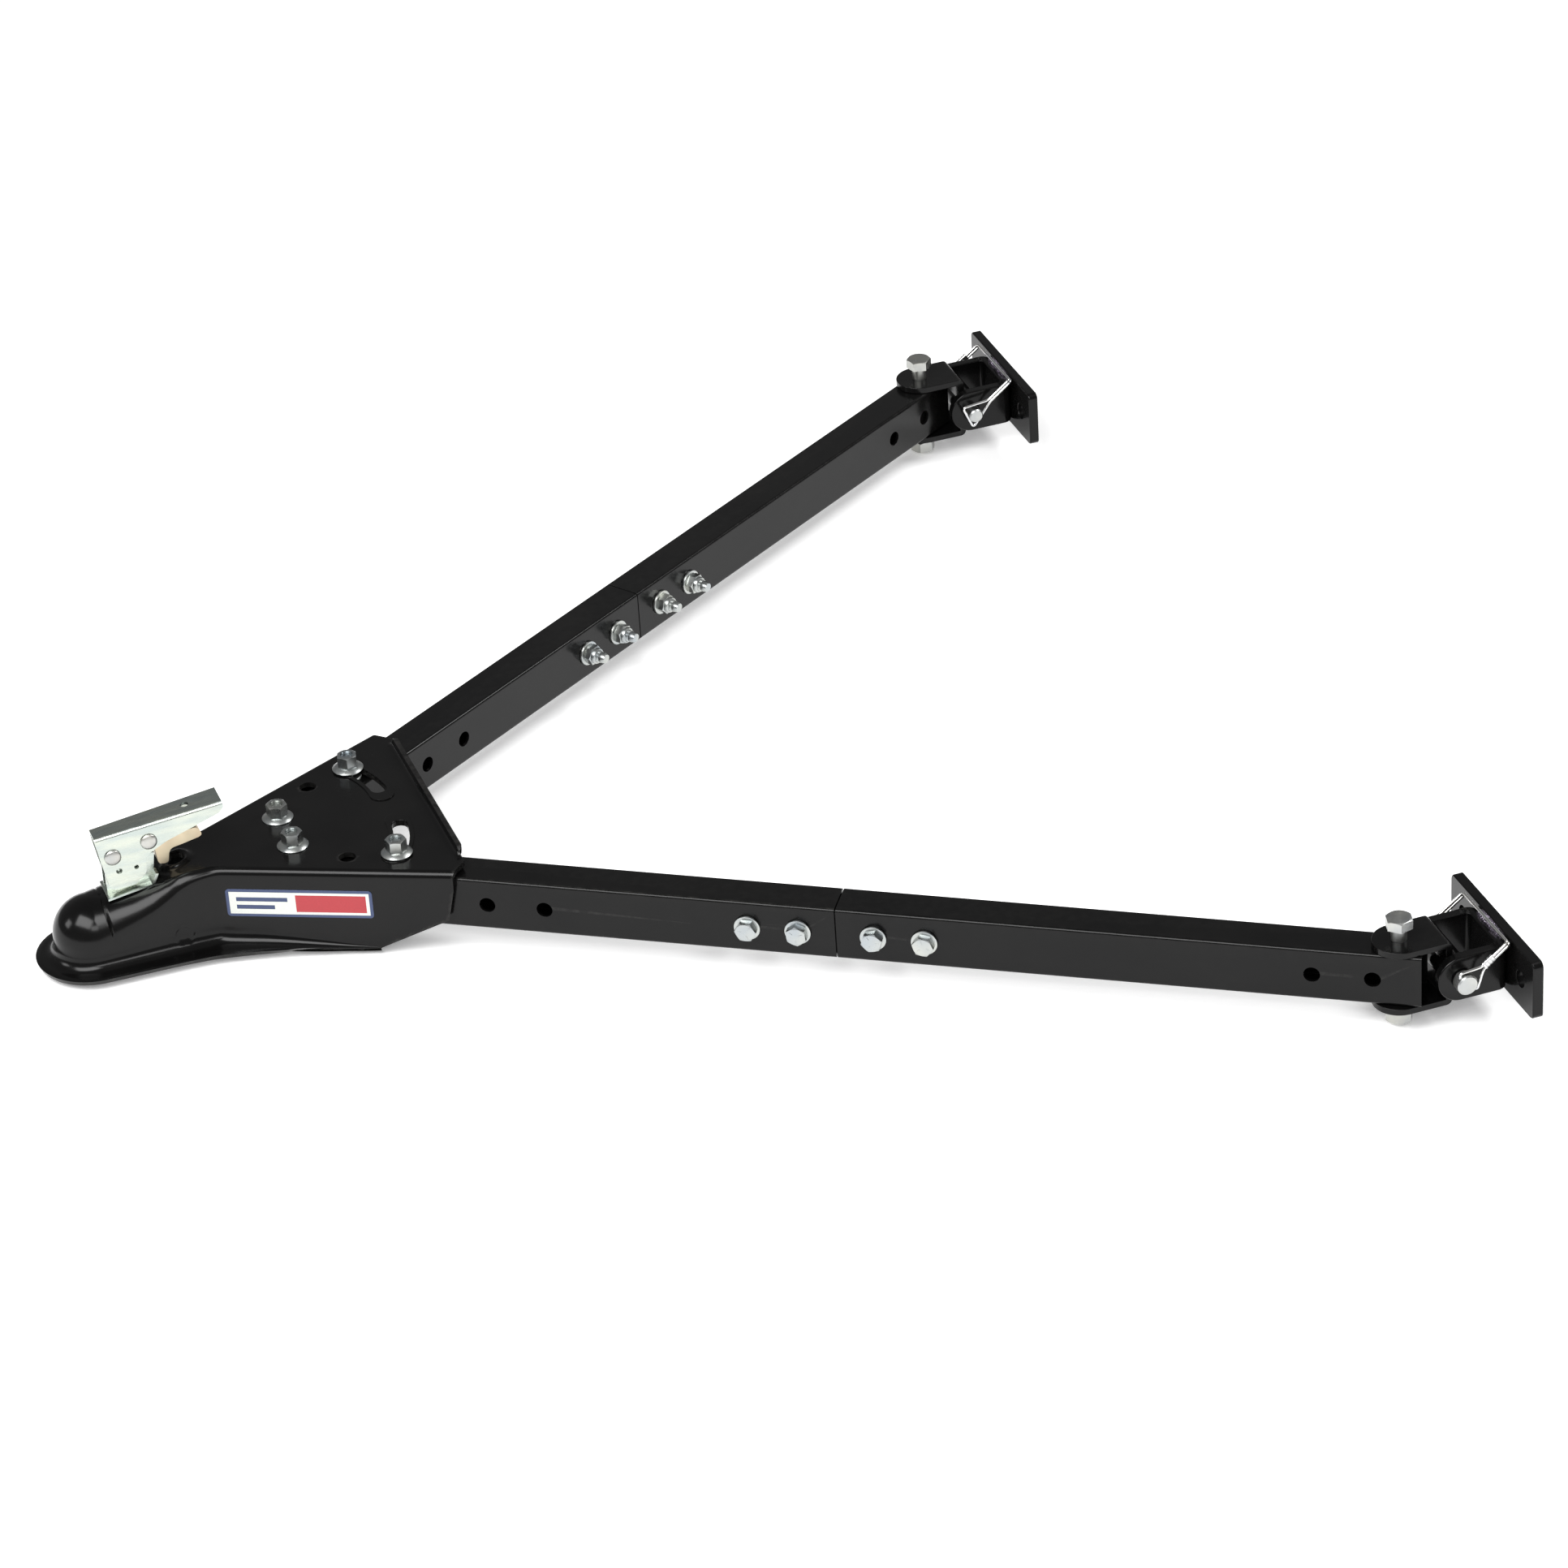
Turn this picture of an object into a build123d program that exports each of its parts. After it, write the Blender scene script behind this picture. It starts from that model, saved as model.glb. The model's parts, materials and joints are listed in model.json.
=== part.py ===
"""A-frame tow bar: a 2-inch ball coupler, two folding arms and two pinned bumper brackets.

Millimetres.  The origin is the centre of the ball in the coupler, +X points back to the towed
vehicle, +Y to its right and +Z up.  "left" is the -Y side.
"""

import os
from math import atan, cos, radians, sin

from build123d import *

os.makedirs("parts", exist_ok=True)

# Ball coupler
ball_radius = 25.4
ball_gap = 0.3
sheet = 4.0
socket_radius = ball_radius + ball_gap
dome_radius = socket_radius + sheet
lip_radius = 44.5
lip_top = -16.0
lip_bottom = lip_top - sheet
neck_half_width = 30.0
neck_rise = (50.0, 72.0)
neck_end = 92.0
plate_top = 46.5
plate_under = plate_top - sheet
body_rear = 268.0
wall_rear = 256.0
wall_flare = 0.5
wall_angle = atan(wall_flare)

# Arms
pivot_x = 156.0
pivot_y = 21.5
arm_level = 18.0
arm_angle = 33.4
arm_fold = 28.0
tube_width = 31.75
tube_height = 42.5
tube_wall = 2.5
tube_corner = 2.5
tube_front = -10.5
tube_seam = 422.0
tube_end = 854.5
seam_gap = 1.0
sleeve_half_length = 82.0
sleeve_gap = 0.2
slot_station = 82.0
front_spare_holes = (154.7, 199.1)
rear_spare_holes = (775.0, 819.1)
spare_hole_radius = 6.15
splice_offsets = (-67.0, -28.5, 28.5, 67.0)
yoke_station = 836.0
yoke_bolt_flats = 18.5
yoke_head_seat = 55.5
yoke_nut_low = -24.0

# Rear joints, measured from each yoke bolt
pin_offset = 36.0
strap_gap = 0.5
strap_thickness = 5.0
strap_half_width = 20.0
barrel_radius = 11.0
clevis_half_inside = 22.0
clevis_thickness = 7.5
clevis_half_height = 18.5
web_inside = 30.0
bumper_half_width = 68.0
bumper_half_height = 24.0
bumper_thickness = 8.0
bumper_hole_offset = 47.0
bumper_hole_radius = 6.75
pin_radius = 6.0
pin_half_length = 40.0
running_gap = 0.05
moving_gap = 0.3

# Three-eighths inch fasteners
bolt_radius = 4.75
bolt_head_flats = 14.3
bolt_head_height = 6.4
nut_height = 9.5
bolt_end = 8.0
washer_radius = 10.0
washer_thickness = 2.0
dish_radius = 12.0
dish_height = 3.0
slot_half_width = 6.0
band_height = 0.8

# Ball clamp
clamp_bottom = -20.0
clamp_half_height = 7.0
stem_x = 34.0
stem_radius = 3.8
stem_hole_radius = 4.6
stem_top = 52.0

# Latch
latch_sheet = 2.2
base_front = (13.2, 30.0)
base_rear = (49.0, 34.6)
base_half_width = 14.0
ear_half_width = 6.8
lever_front = 9.5
lever_rear = 107.0
lever_front_top = 83.0
lever_rear_top = 93.5
lever_front_half = 9.2
lever_rear_half = 12.5
lever_rivet_at = (21.6, 64.9)
trigger_rivet_at = (49.9, 72.0)
rivet_radius = 3.0

# Pin bails
wire_radius = 1.2
wire_y = 36.6
strand_offset = 1.3

# Where the bracket pins and bumper plates lie, and how steeply the lever's top climbs
yoke_x = pivot_x + yoke_station * cos(radians(arm_angle))
yoke_y = pivot_y + yoke_station * sin(radians(arm_angle))
pin_x = yoke_x + pin_offset
web_outside = web_inside + clevis_thickness
lever_rise = (lever_rear_top - lever_front_top) / (lever_rear - lever_front)

sides = {"left": -1, "right": 1}


def finish(piece, name):
    """Label a finished piece and write its STEP file."""
    piece.part.label = name
    export_step(piece.part, f"parts/{name}.step")


def arm_plane(side, station=0.0, height=0.0):
    """A level plane on an arm's centre line, its X along the arm."""
    angle = radians(arm_angle)
    along = (cos(angle), side * sin(angle), 0)
    origin = (pivot_x + station * along[0], side * pivot_y + station * along[1], arm_level + height)
    return Plane(origin=origin, x_dir=along, z_dir=(0, 0, 1))


def arm_section(side, station):
    """A plane square to an arm, its X across the arm."""
    level = arm_plane(side, station)
    return Plane(origin=level.origin, x_dir=level.y_dir, z_dir=level.x_dir)


def arm_face(side, station, reach):
    """A plane along an arm, facing across it, moved outward by reach."""
    level = arm_plane(side, station)
    outward = level.y_dir * side
    return Plane(origin=level.origin + outward * reach, x_dir=level.x_dir, z_dir=outward)


def bore(plane, radius, depth):
    """Cut a round hole that runs half its depth each way from a plane."""
    with Locations(plane.location):
        Cylinder(radius, depth, mode=Mode.SUBTRACT)


def hexagon_radius(flats):
    """The corner radius of a hexagon from the distance across its flats."""
    return flats / 2 / cos(radians(30))


# ---------------------------------------------------------------- coupler

def arch(x, half_width, top, corner, bottom):
    """A section across the coupler: straight sides under a rounded top."""
    with BuildSketch(Plane(origin=(x, 0, 0), x_dir=(0, 1, 0), z_dir=(1, 0, 0))) as section:
        with BuildLine():
            Polyline(
                (-half_width, bottom),
                (-half_width, top),
                (half_width, top),
                (half_width, bottom),
                close=True,
            )
        make_face()
        fillet(section.vertices().group_by(Axis.Y)[-1], corner)
    return section.sketch


def wedge_half_width(x, inset):
    """Half the width of the spreading rear body at x."""
    return neck_half_width + wall_flare * (x - neck_end) - inset / cos(wall_angle)


def body_sections(inset, rear):
    """The arches that the body is lofted through, from the ball back to rear."""
    below = lip_bottom - 20
    return [
        arch(0, dome_radius - inset, dome_radius - inset, 24 - inset, below),
        arch(neck_rise[0], dome_radius - inset, 35.5 - inset, 14 - inset, below),
        arch(neck_rise[1], neck_half_width - inset, plate_top - inset, 8 - inset / 2, below),
        arch(neck_end, neck_half_width - inset, plate_top - inset, 8 - inset / 2, below),
        arch(rear, wedge_half_width(rear, inset), plate_top - inset, 8 - inset / 2, below),
    ]


with BuildPart() as cavity:
    loft(body_sections(sheet, body_rear + 30), ruled=True)
    Sphere(socket_radius)
    with Locations((0, 0, (lip_bottom - 20) / 2)):
        Cylinder(socket_radius, -(lip_bottom - 20))
    with Locations((0, 0, lip_bottom + 2)):
        Cone(socket_radius + 5, socket_radius, 5)

with BuildPart() as side_trim:
    with BuildSketch(Plane.XZ):
        with BuildLine():
            Polyline(
                (-60, lip_bottom - 60),
                (-60, lip_bottom),
                (201, lip_bottom),
                (249, 5),
                (wall_rear, plate_under),
                (body_rear + 40, plate_under),
                (body_rear + 40, lip_bottom - 60),
                close=True,
            )
        make_face()
    extrude(amount=150, both=True)

with BuildPart() as coupler_body:
    loft(body_sections(0, wall_rear), ruled=True)
    with BuildSketch(Plane.XY.offset(plate_under)):
        with BuildLine():
            Polyline(
                (wall_rear, -wedge_half_width(wall_rear, 0) + 6),
                (wall_rear, wedge_half_width(wall_rear, 0) - 6),
                (body_rear, 96),
                (body_rear, -96),
                close=True,
            )
        make_face()
    extrude(amount=sheet)
    Sphere(dome_radius)
    with Locations((0, 0, lip_bottom / 2)):
        Cylinder(dome_radius, -lip_bottom)
    with BuildSketch(Plane.XY.offset(lip_bottom)):
        with BuildLine():
            CenterArc((0, 0), lip_radius, 90, 180)
            Spline((0, lip_radius), (76, 47), (130, 60.5), (201, 84.5), tangents=[(1, 0), (1, 0.45)])
            Spline((0, -lip_radius), (76, -47), (130, -60.5), (201, -84.5), tangents=[(1, 0), (1, -0.45)])
            Line((201, 84.5), (201, -84.5))
        make_face()
    extrude(amount=sheet)
    add(side_trim.part, mode=Mode.SUBTRACT)
    add(cavity.part, mode=Mode.SUBTRACT)
    for side in sides.values():
        pivot = Plane((pivot_x, side * pivot_y, plate_top))
        first_angle = arm_angle + 0.5
        with BuildSketch(pivot.offset(-1)):
            with BuildLine() as band_line:
                CenterArc((0, 0), slot_station, side * -6, side * (arm_angle + 14))
            SlotArc(band_line.edge(), 19)
        extrude(amount=1 + band_height)
        with BuildSketch(pivot):
            with BuildLine() as slot_line:
                CenterArc((0, 0), slot_station, side * first_angle, -side * (arm_fold + 1))
            SlotArc(slot_line.edge(), 2 * slot_half_width)
        extrude(amount=20, both=True, mode=Mode.SUBTRACT)
        bore(pivot, bolt_radius, 20)
        bore(Plane((189, side * 55, plate_top)), 6.5, 20)
    with BuildSketch(Plane.YZ.offset(body_rear - sheet)):
        Trapezoid(180, 2 * (plate_top + 7), 84, align=(Align.CENTER, Align.CENTER))
        Rectangle(400, 2 * plate_under, mode=Mode.SUBTRACT)
        with Locations((0, -100)):
            Rectangle(400, 200, mode=Mode.SUBTRACT)
    extrude(amount=sheet)
    bore(Plane((70, 0, plate_under)), 7, 40)
    bore(Plane((stem_x, 0, 33)), stem_hole_radius, 20)
finish(coupler_body, "coupler_body")

with BuildPart() as pivot_bolts:
    for side in sides.values():
        with BuildSketch(arm_plane(side, 0, -tube_height / 2 - moving_gap)):
            RegularPolygon(hexagon_radius(bolt_head_flats), 6)
        extrude(amount=-bolt_head_height)
        with BuildSketch(arm_plane(side, 0, -tube_height / 2 - moving_gap)):
            Circle(bolt_radius)
        extrude(amount=plate_top + dish_height + nut_height - 1 - (arm_level - tube_height / 2 - moving_gap))
finish(pivot_bolts, "pivot_bolts")

with BuildPart() as pivot_spacers:
    for side in sides.values():
        with BuildSketch(Plane((pivot_x, side * pivot_y, plate_under))):
            Circle(washer_radius)
            Circle(bolt_radius, mode=Mode.SUBTRACT)
        extrude(amount=-(plate_under - arm_level - tube_height / 2 - moving_gap))
finish(pivot_spacers, "pivot_spacers")

with BuildPart() as pivot_washers:
    for side in sides.values():
        with Locations((pivot_x, side * pivot_y, plate_top)):
            Cone(dish_radius, 7.5, dish_height, align=(Align.CENTER, Align.CENTER, Align.MIN))
        bore(Plane((pivot_x, side * pivot_y, plate_top)), bolt_radius, 20)
finish(pivot_washers, "pivot_washers")

with BuildPart() as pivot_nuts:
    for side in sides.values():
        with BuildSketch(Plane((pivot_x, side * pivot_y, plate_top + dish_height))):
            RegularPolygon(hexagon_radius(bolt_head_flats), 6)
            Circle(bolt_radius, mode=Mode.SUBTRACT)
        extrude(amount=nut_height)
finish(pivot_nuts, "pivot_nuts")

with BuildPart() as side_label:
    label_middle = (148, -wedge_half_width(148, 0), 18)
    along_wall = (cos(wall_angle), -sin(wall_angle), 0)
    out_of_wall = (-sin(wall_angle), -cos(wall_angle), 0)
    with BuildSketch(Plane(origin=label_middle, x_dir=along_wall, z_dir=out_of_wall)):
        RectangleRounded(112, 24, 3)
    extrude(amount=0.4)
finish(side_label, "side_label")

# ---------------------------------------------------------------- ball clamp

with BuildPart() as ball_clamp:
    with Locations((30, 0, clamp_bottom + clamp_half_height)):
        Box(24, 28, 2 * clamp_half_height)
    fillet(ball_clamp.edges().filter_by(Axis.Z), 4)
    Sphere(ball_radius + 0.5, mode=Mode.SUBTRACT)
    bore(Plane((stem_x, 0, clamp_bottom)), stem_radius, 60)
finish(ball_clamp, "ball_clamp")

with BuildPart() as clamp_stem:
    with BuildSketch(Plane((stem_x, 0, clamp_bottom - 7))):
        Circle(stem_radius)
    extrude(amount=stem_top - clamp_bottom + 7)
finish(clamp_stem, "clamp_stem")

with BuildPart() as clamp_nut:
    with BuildSketch(Plane((stem_x, 0, clamp_bottom))):
        RegularPolygon(hexagon_radius(13), 6)
        Circle(stem_radius, mode=Mode.SUBTRACT)
    extrude(amount=-6)
finish(clamp_nut, "clamp_nut")

with BuildPart() as clamp_spring:
    with BuildLine() as coil:
        Helix(pitch=5.2, height=26, radius=5.6, center=(stem_x, 0, -4.8))
    with BuildSketch(Plane(origin=coil.line @ 0, z_dir=coil.line % 0)):
        Circle(0.8)
    sweep(is_frenet=True)
finish(clamp_spring, "clamp_spring")

# ---------------------------------------------------------------- latch

with BuildPart() as latch_bracket:
    with BuildSketch(Plane.XZ):
        with BuildLine():
            Polyline(
                base_front,
                base_rear,
                (53.4, 44.5),
                (51.3, 45.2),
                (47.6, base_rear[1] + latch_sheet),
                (base_front[0], base_front[1] + latch_sheet),
                close=True,
            )
        make_face()
    extrude(amount=base_half_width, both=True)
    with BuildSketch(Plane.XZ):
        with BuildLine():
            Polyline(
                (14.5, 31),
                (48, 35.5),
                (51.3, 44),
                (53.4, 59.5),
                (47, 60),
                (42, 50),
                (30, 66),
                lever_rivet_at,
                (15, 66),
                close=True,
            )
        make_face()
        with Locations(lever_rivet_at):
            Circle(7)
    extrude(amount=ear_half_width, both=True)
    with Locations((32, 0, 55)):
        Box(60, 2 * (ear_half_width - latch_sheet), 41, mode=Mode.SUBTRACT)
    bore(Plane((stem_x, 0, 33)), stem_hole_radius, 20)
    bore(Plane((lever_rivet_at[0], 0, lever_rivet_at[1]), z_dir=(0, 1, 0)), rivet_radius, 60)
    loft(body_sections(0, wall_rear), ruled=True, mode=Mode.SUBTRACT)
finish(latch_bracket, "latch_bracket")


def lever_half_width(x):
    """Half the lever's width, which grows towards the grip."""
    share = (x - lever_front) / (lever_rear - lever_front)
    return lever_front_half + share * (lever_rear_half - lever_front_half)


with BuildPart() as latch_lever:
    with BuildSketch(Plane.XZ) as lever_side:
        with BuildLine():
            Polyline(
                (lever_front, lever_front_top),
                (lever_rear, lever_rear_top),
                (lever_rear + 2, 84.5),
                (62, 69),
                (46, 61),
                (45, 46),
                (36, 38.5),
                (17, 36),
                close=True,
            )
        make_face()
        fillet(lever_side.vertices().filter_by(lambda v: v.Z < 62), 5)
    extrude(amount=20, both=True)
    with BuildSketch(Plane.XY.offset(20)):
        with BuildLine():
            Polyline(
                (lever_front - 9, -lever_front_half),
                (lever_front, -lever_front_half),
                (lever_rear + 9, -lever_rear_half),
                (lever_rear + 9, lever_rear_half),
                (lever_front, lever_front_half),
                (lever_front - 9, lever_front_half),
                close=True,
            )
        make_face()
    extrude(amount=90, mode=Mode.INTERSECT)
    with BuildSketch(Plane.XZ):
        with BuildLine():
            Polyline(
                (lever_front - 20, lever_front_top - 20 * lever_rise - latch_sheet),
                (lever_rear + 20, lever_rear_top + 20 * lever_rise - latch_sheet),
                (lever_rear + 20, 20),
                (lever_front - 20, 20),
                close=True,
            )
        make_face()
    extrude(amount=lever_front_half - latch_sheet, both=True, mode=Mode.SUBTRACT)
    grip_hole = Plane((82, 0, 90))
    bore(grip_hole, 3.2, 12)
    for x, z, radius in ((*lever_rivet_at, rivet_radius + running_gap), (*trigger_rivet_at, rivet_radius)):
        bore(Plane((x, 0, z), z_dir=(0, 1, 0)), radius, 60)
    bore(Plane((25.1, 0, 52), z_dir=(0, 1, 0)), 2.4, 60)
    bore(Plane((38.3, 0, 52.4), z_dir=(0, 1, 0)), 1.8, 60)
finish(latch_lever, "latch_lever")


def rivet(name, centre, gap):
    """A round-headed cross rivet through the latch."""
    head_inside = lever_half_width(centre[0]) + gap
    axis = Plane(origin=(centre[0], 0, centre[1]), z_dir=(0, 1, 0))
    with BuildPart() as piece:
        with Locations(axis.location):
            Cylinder(rivet_radius, 2 * head_inside + 2)
        for direction in (1, -1):
            with BuildSketch(axis.offset(direction * head_inside)):
                Circle(6.4)
            extrude(amount=direction * 2.6)
        fillet(piece.edges().group_by(Axis.Y)[0] + piece.edges().group_by(Axis.Y)[-1], 2.2)
    finish(piece, name)


rivet("lever_rivet", lever_rivet_at, moving_gap)
rivet("trigger_rivet", trigger_rivet_at, moving_gap)

with BuildPart() as latch_trigger:
    with BuildSketch(Plane.XZ) as pawl:
        with BuildLine():
            Polyline(
                (45, 77),
                (56, 76),
                (66, 69),
                (88, 72),
                (92, 64),
                (74, 61),
                (65, 60),
                (63.5, 47),
                (56, 48),
                (55, 62),
                (45, 66),
                close=True,
            )
        make_face()
        fillet(pawl.vertices().filter_by(lambda v: v.X > 60), 2)
    extrude(amount=6.2, both=True)
    trigger_pivot = Plane((trigger_rivet_at[0], 0, trigger_rivet_at[1]), z_dir=(0, 1, 0))
    bore(trigger_pivot, rivet_radius + running_gap, 60)
finish(latch_trigger, "latch_trigger")

# ---------------------------------------------------------------- arms

def tube(name, side, start, end, cross_holes, level_holes):
    """A length of rectangular tube with holes across it and holes down through it."""
    with BuildPart() as piece:
        with BuildSketch(arm_section(side, start)):
            RectangleRounded(tube_width, tube_height, tube_corner)
            RectangleRounded(tube_width - 2 * tube_wall, tube_height - 2 * tube_wall, 1, mode=Mode.SUBTRACT)
        extrude(amount=end - start)
        for station, radius in cross_holes:
            bore(arm_face(side, station, 0), radius, 80)
        for station, radius in level_holes:
            bore(arm_plane(side, station), radius, 80)
    finish(piece, name)


def splice_sleeve(name, side):
    """The inner tube that joins the two halves of an arm."""
    width = tube_width - 2 * tube_wall - 2 * sleeve_gap
    height = tube_height - 2 * tube_wall - 2 * sleeve_gap
    with BuildPart() as piece:
        with BuildSketch(arm_section(side, tube_seam - sleeve_half_length)):
            RectangleRounded(width, height, 2)
            RectangleRounded(width - 5, height - 5, 1, mode=Mode.SUBTRACT)
        extrude(amount=2 * sleeve_half_length)
        for offset in splice_offsets:
            bore(arm_face(side, tube_seam + offset, 0), bolt_radius, 80)
    finish(piece, name)


def splice_bolts(name, side):
    """Four bolts across the joint, with their heads on the outer face."""
    head_seat = tube_width / 2 + washer_thickness
    with BuildPart() as piece:
        for offset in splice_offsets:
            face = arm_face(side, tube_seam + offset, head_seat)
            with BuildSketch(face):
                RegularPolygon(hexagon_radius(bolt_head_flats), 6)
            extrude(amount=bolt_head_height)
            with BuildSketch(face):
                Circle(bolt_radius)
            extrude(amount=-(2 * head_seat + nut_height + bolt_end))
    finish(piece, name)


def splice_washers(name, side):
    """Eight flat washers, one under each head and each nut."""
    with BuildPart() as piece:
        for offset in splice_offsets:
            for reach, direction in ((tube_width / 2, 1), (-tube_width / 2, -1)):
                with BuildSketch(arm_face(side, tube_seam + offset, reach)):
                    Circle(washer_radius)
                    Circle(bolt_radius, mode=Mode.SUBTRACT)
                extrude(amount=direction * washer_thickness)
    finish(piece, name)


def splice_nuts(name, side):
    """Four locking nuts on the arm's inner face."""
    nut_seat = -(tube_width / 2 + washer_thickness)
    with BuildPart() as piece:
        for offset in splice_offsets:
            face = arm_face(side, tube_seam + offset, nut_seat)
            with BuildSketch(face):
                RegularPolygon(hexagon_radius(bolt_head_flats), 6)
                Circle(bolt_radius, mode=Mode.SUBTRACT)
            extrude(amount=-nut_height)
    finish(piece, name)


def slot_fasteners(label, side):
    """The bolt, spacer, dished washer and nut that ride in the coupler's arc slot."""
    tube_top = tube_height / 2
    seat = plate_top + band_height + moving_gap - arm_level
    with BuildPart() as bolt:
        with BuildSketch(arm_plane(side, slot_station, -tube_top)):
            RegularPolygon(hexagon_radius(bolt_head_flats), 6)
        extrude(amount=-bolt_head_height)
        with BuildSketch(arm_plane(side, slot_station, -tube_top)):
            Circle(bolt_radius)
        extrude(amount=tube_top + seat + dish_height + nut_height - 1)
    finish(bolt, f"{label}_slot_bolt")
    with BuildPart() as spacer:
        with BuildSketch(arm_plane(side, slot_station, tube_top)):
            Circle(washer_radius)
            Circle(bolt_radius, mode=Mode.SUBTRACT)
        extrude(amount=plate_under - arm_level - tube_top - moving_gap)
    finish(spacer, f"{label}_slot_spacer")
    with BuildPart() as washer:
        with Locations(arm_plane(side, slot_station, seat).location):
            Cone(dish_radius, 7.5, dish_height, align=(Align.CENTER, Align.CENTER, Align.MIN))
        bore(arm_plane(side, slot_station, seat), bolt_radius, 20)
    finish(washer, f"{label}_slot_washer")
    with BuildPart() as nut:
        with BuildSketch(arm_plane(side, slot_station, seat + dish_height)):
            RegularPolygon(hexagon_radius(bolt_head_flats), 6)
            Circle(bolt_radius, mode=Mode.SUBTRACT)
        extrude(amount=nut_height)
    finish(nut, f"{label}_slot_nut")


def yoke_fasteners(label, side):
    """The long upright bolt at the arm's end and its nut, fitted loosely."""
    with BuildPart() as bolt:
        with BuildSketch(Plane((yoke_x, side * yoke_y, yoke_head_seat))):
            RegularPolygon(hexagon_radius(yoke_bolt_flats), 6)
        extrude(amount=8)
        chamfer(bolt.edges().group_by(Axis.Z)[-1], 0.8)
        with BuildSketch(Plane((yoke_x, side * yoke_y, yoke_head_seat))):
            Circle(pin_radius)
        extrude(amount=-(yoke_head_seat - yoke_nut_low + 2))
    finish(bolt, f"{label}_yoke_bolt")
    with BuildPart() as nut:
        with BuildSketch(Plane((yoke_x, side * yoke_y, yoke_nut_low))):
            RegularPolygon(hexagon_radius(yoke_bolt_flats), 6)
            Circle(pin_radius, mode=Mode.SUBTRACT)
        extrude(amount=10)
    finish(nut, f"{label}_yoke_nut")


# ---------------------------------------------------------------- rear joints

def yoke_strap(name, side, direction):
    """A strap over or under the arm's end, turned in at the back to meet the barrel."""
    inside = tube_height / 2 + strap_gap
    outside = inside + strap_thickness
    back = pin_offset - 3
    with BuildPart() as piece:
        with BuildSketch(Plane((yoke_x, side * yoke_y, arm_level + direction * inside))):
            Circle(strap_half_width)
            with Locations((back / 2, 0)):
                Rectangle(back, 2 * strap_half_width)
        extrude(amount=direction * strap_thickness)
        wall_x = yoke_x + back - strap_thickness / 2
        with Locations((wall_x, side * yoke_y, arm_level + direction * outside / 2)):
            Box(strap_thickness, 2 * strap_half_width, outside)
        back_edges = piece.edges().filter_by(Axis.Y).group_by(Axis.X)[-1]
        fillet(back_edges.sort_by(Axis.Z, reverse=direction < 0)[-1], strap_thickness - 0.5)
        bore(Plane((pin_x, side * yoke_y, arm_level), z_dir=(0, 1, 0)), barrel_radius, 80)
        bore(Plane((yoke_x, side * yoke_y, arm_level + direction * inside)), pin_radius + running_gap, 20)
    finish(piece, name)


def yoke_barrel(name, side):
    """The cross tube that turns on the hitch pin."""
    with BuildPart() as piece:
        with Locations(Plane((pin_x, side * yoke_y, arm_level), z_dir=(0, 1, 0)).location):
            Cylinder(barrel_radius, 2 * strap_half_width)
            Cylinder(pin_radius + running_gap, 80, mode=Mode.SUBTRACT)
    finish(piece, name)


def clevis(name, side):
    """The U-shaped bracket, its ears either side of the barrel and its web on the bumper plate."""
    half_outside = clevis_half_inside + clevis_thickness
    ear_front = pin_x - clevis_half_height
    with BuildPart() as piece:
        with BuildSketch(Plane.XY.offset(arm_level - clevis_half_height)) as outline:
            with Locations(((ear_front + pin_x + web_outside) / 2, side * yoke_y)):
                Rectangle(pin_x + web_outside - ear_front, 2 * half_outside)
            fillet(outline.vertices().group_by(Axis.X)[-1], 8)
            with Locations((pin_x + web_inside - 50, side * yoke_y)):
                Rectangle(100, 2 * clevis_half_inside, mode=Mode.SUBTRACT)
            web_face = pin_x + web_inside
            fillet(outline.vertices().filter_by_position(Axis.X, web_face - 0.1, web_face + 0.1), 3)
        extrude(amount=2 * clevis_half_height)
        with BuildSketch(Plane((pin_x, side * yoke_y, arm_level), z_dir=(0, 1, 0), x_dir=(1, 0, 0))):
            Circle(clevis_half_height)
            with Locations((30, 0)):
                Rectangle(60, 2 * clevis_half_height)
        extrude(amount=60, both=True, mode=Mode.INTERSECT)
        bore(Plane((pin_x, side * yoke_y, arm_level), z_dir=(0, 1, 0)), pin_radius + running_gap, 80)
    finish(piece, name)


def bumper_plate(name, side):
    """The flat plate that bolts to the towed vehicle's bumper."""
    front = Plane(origin=(pin_x + web_outside, side * yoke_y, arm_level), x_dir=(0, 1, 0), z_dir=(1, 0, 0))
    with BuildPart() as piece:
        with BuildSketch(front):
            RectangleRounded(2 * bumper_half_width, 2 * bumper_half_height, 5)
            with Locations((-bumper_hole_offset, 0), (bumper_hole_offset, 0)):
                Circle(bumper_hole_radius, mode=Mode.SUBTRACT)
        extrude(amount=bumper_thickness)
        chamfer(piece.edges().filter_by(Axis.Y).group_by(Axis.X)[0], 0.8)
    finish(piece, name)


def clevis_weld(name, side):
    """Weld beads along the top and bottom of the clevis web."""
    with BuildPart() as piece:
        for direction in (1, -1):
            corner = (pin_x + web_outside, side * yoke_y - 20, arm_level + direction * clevis_half_height)
            with BuildSketch(Plane(origin=corner, x_dir=(-1, 0, 0), z_dir=(0, 1, 0))):
                with BuildLine():
                    Polyline((0, 0), (4, 0), (0, 4 * direction), close=True)
                make_face()
            extrude(amount=40)
    finish(piece, name)


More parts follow.
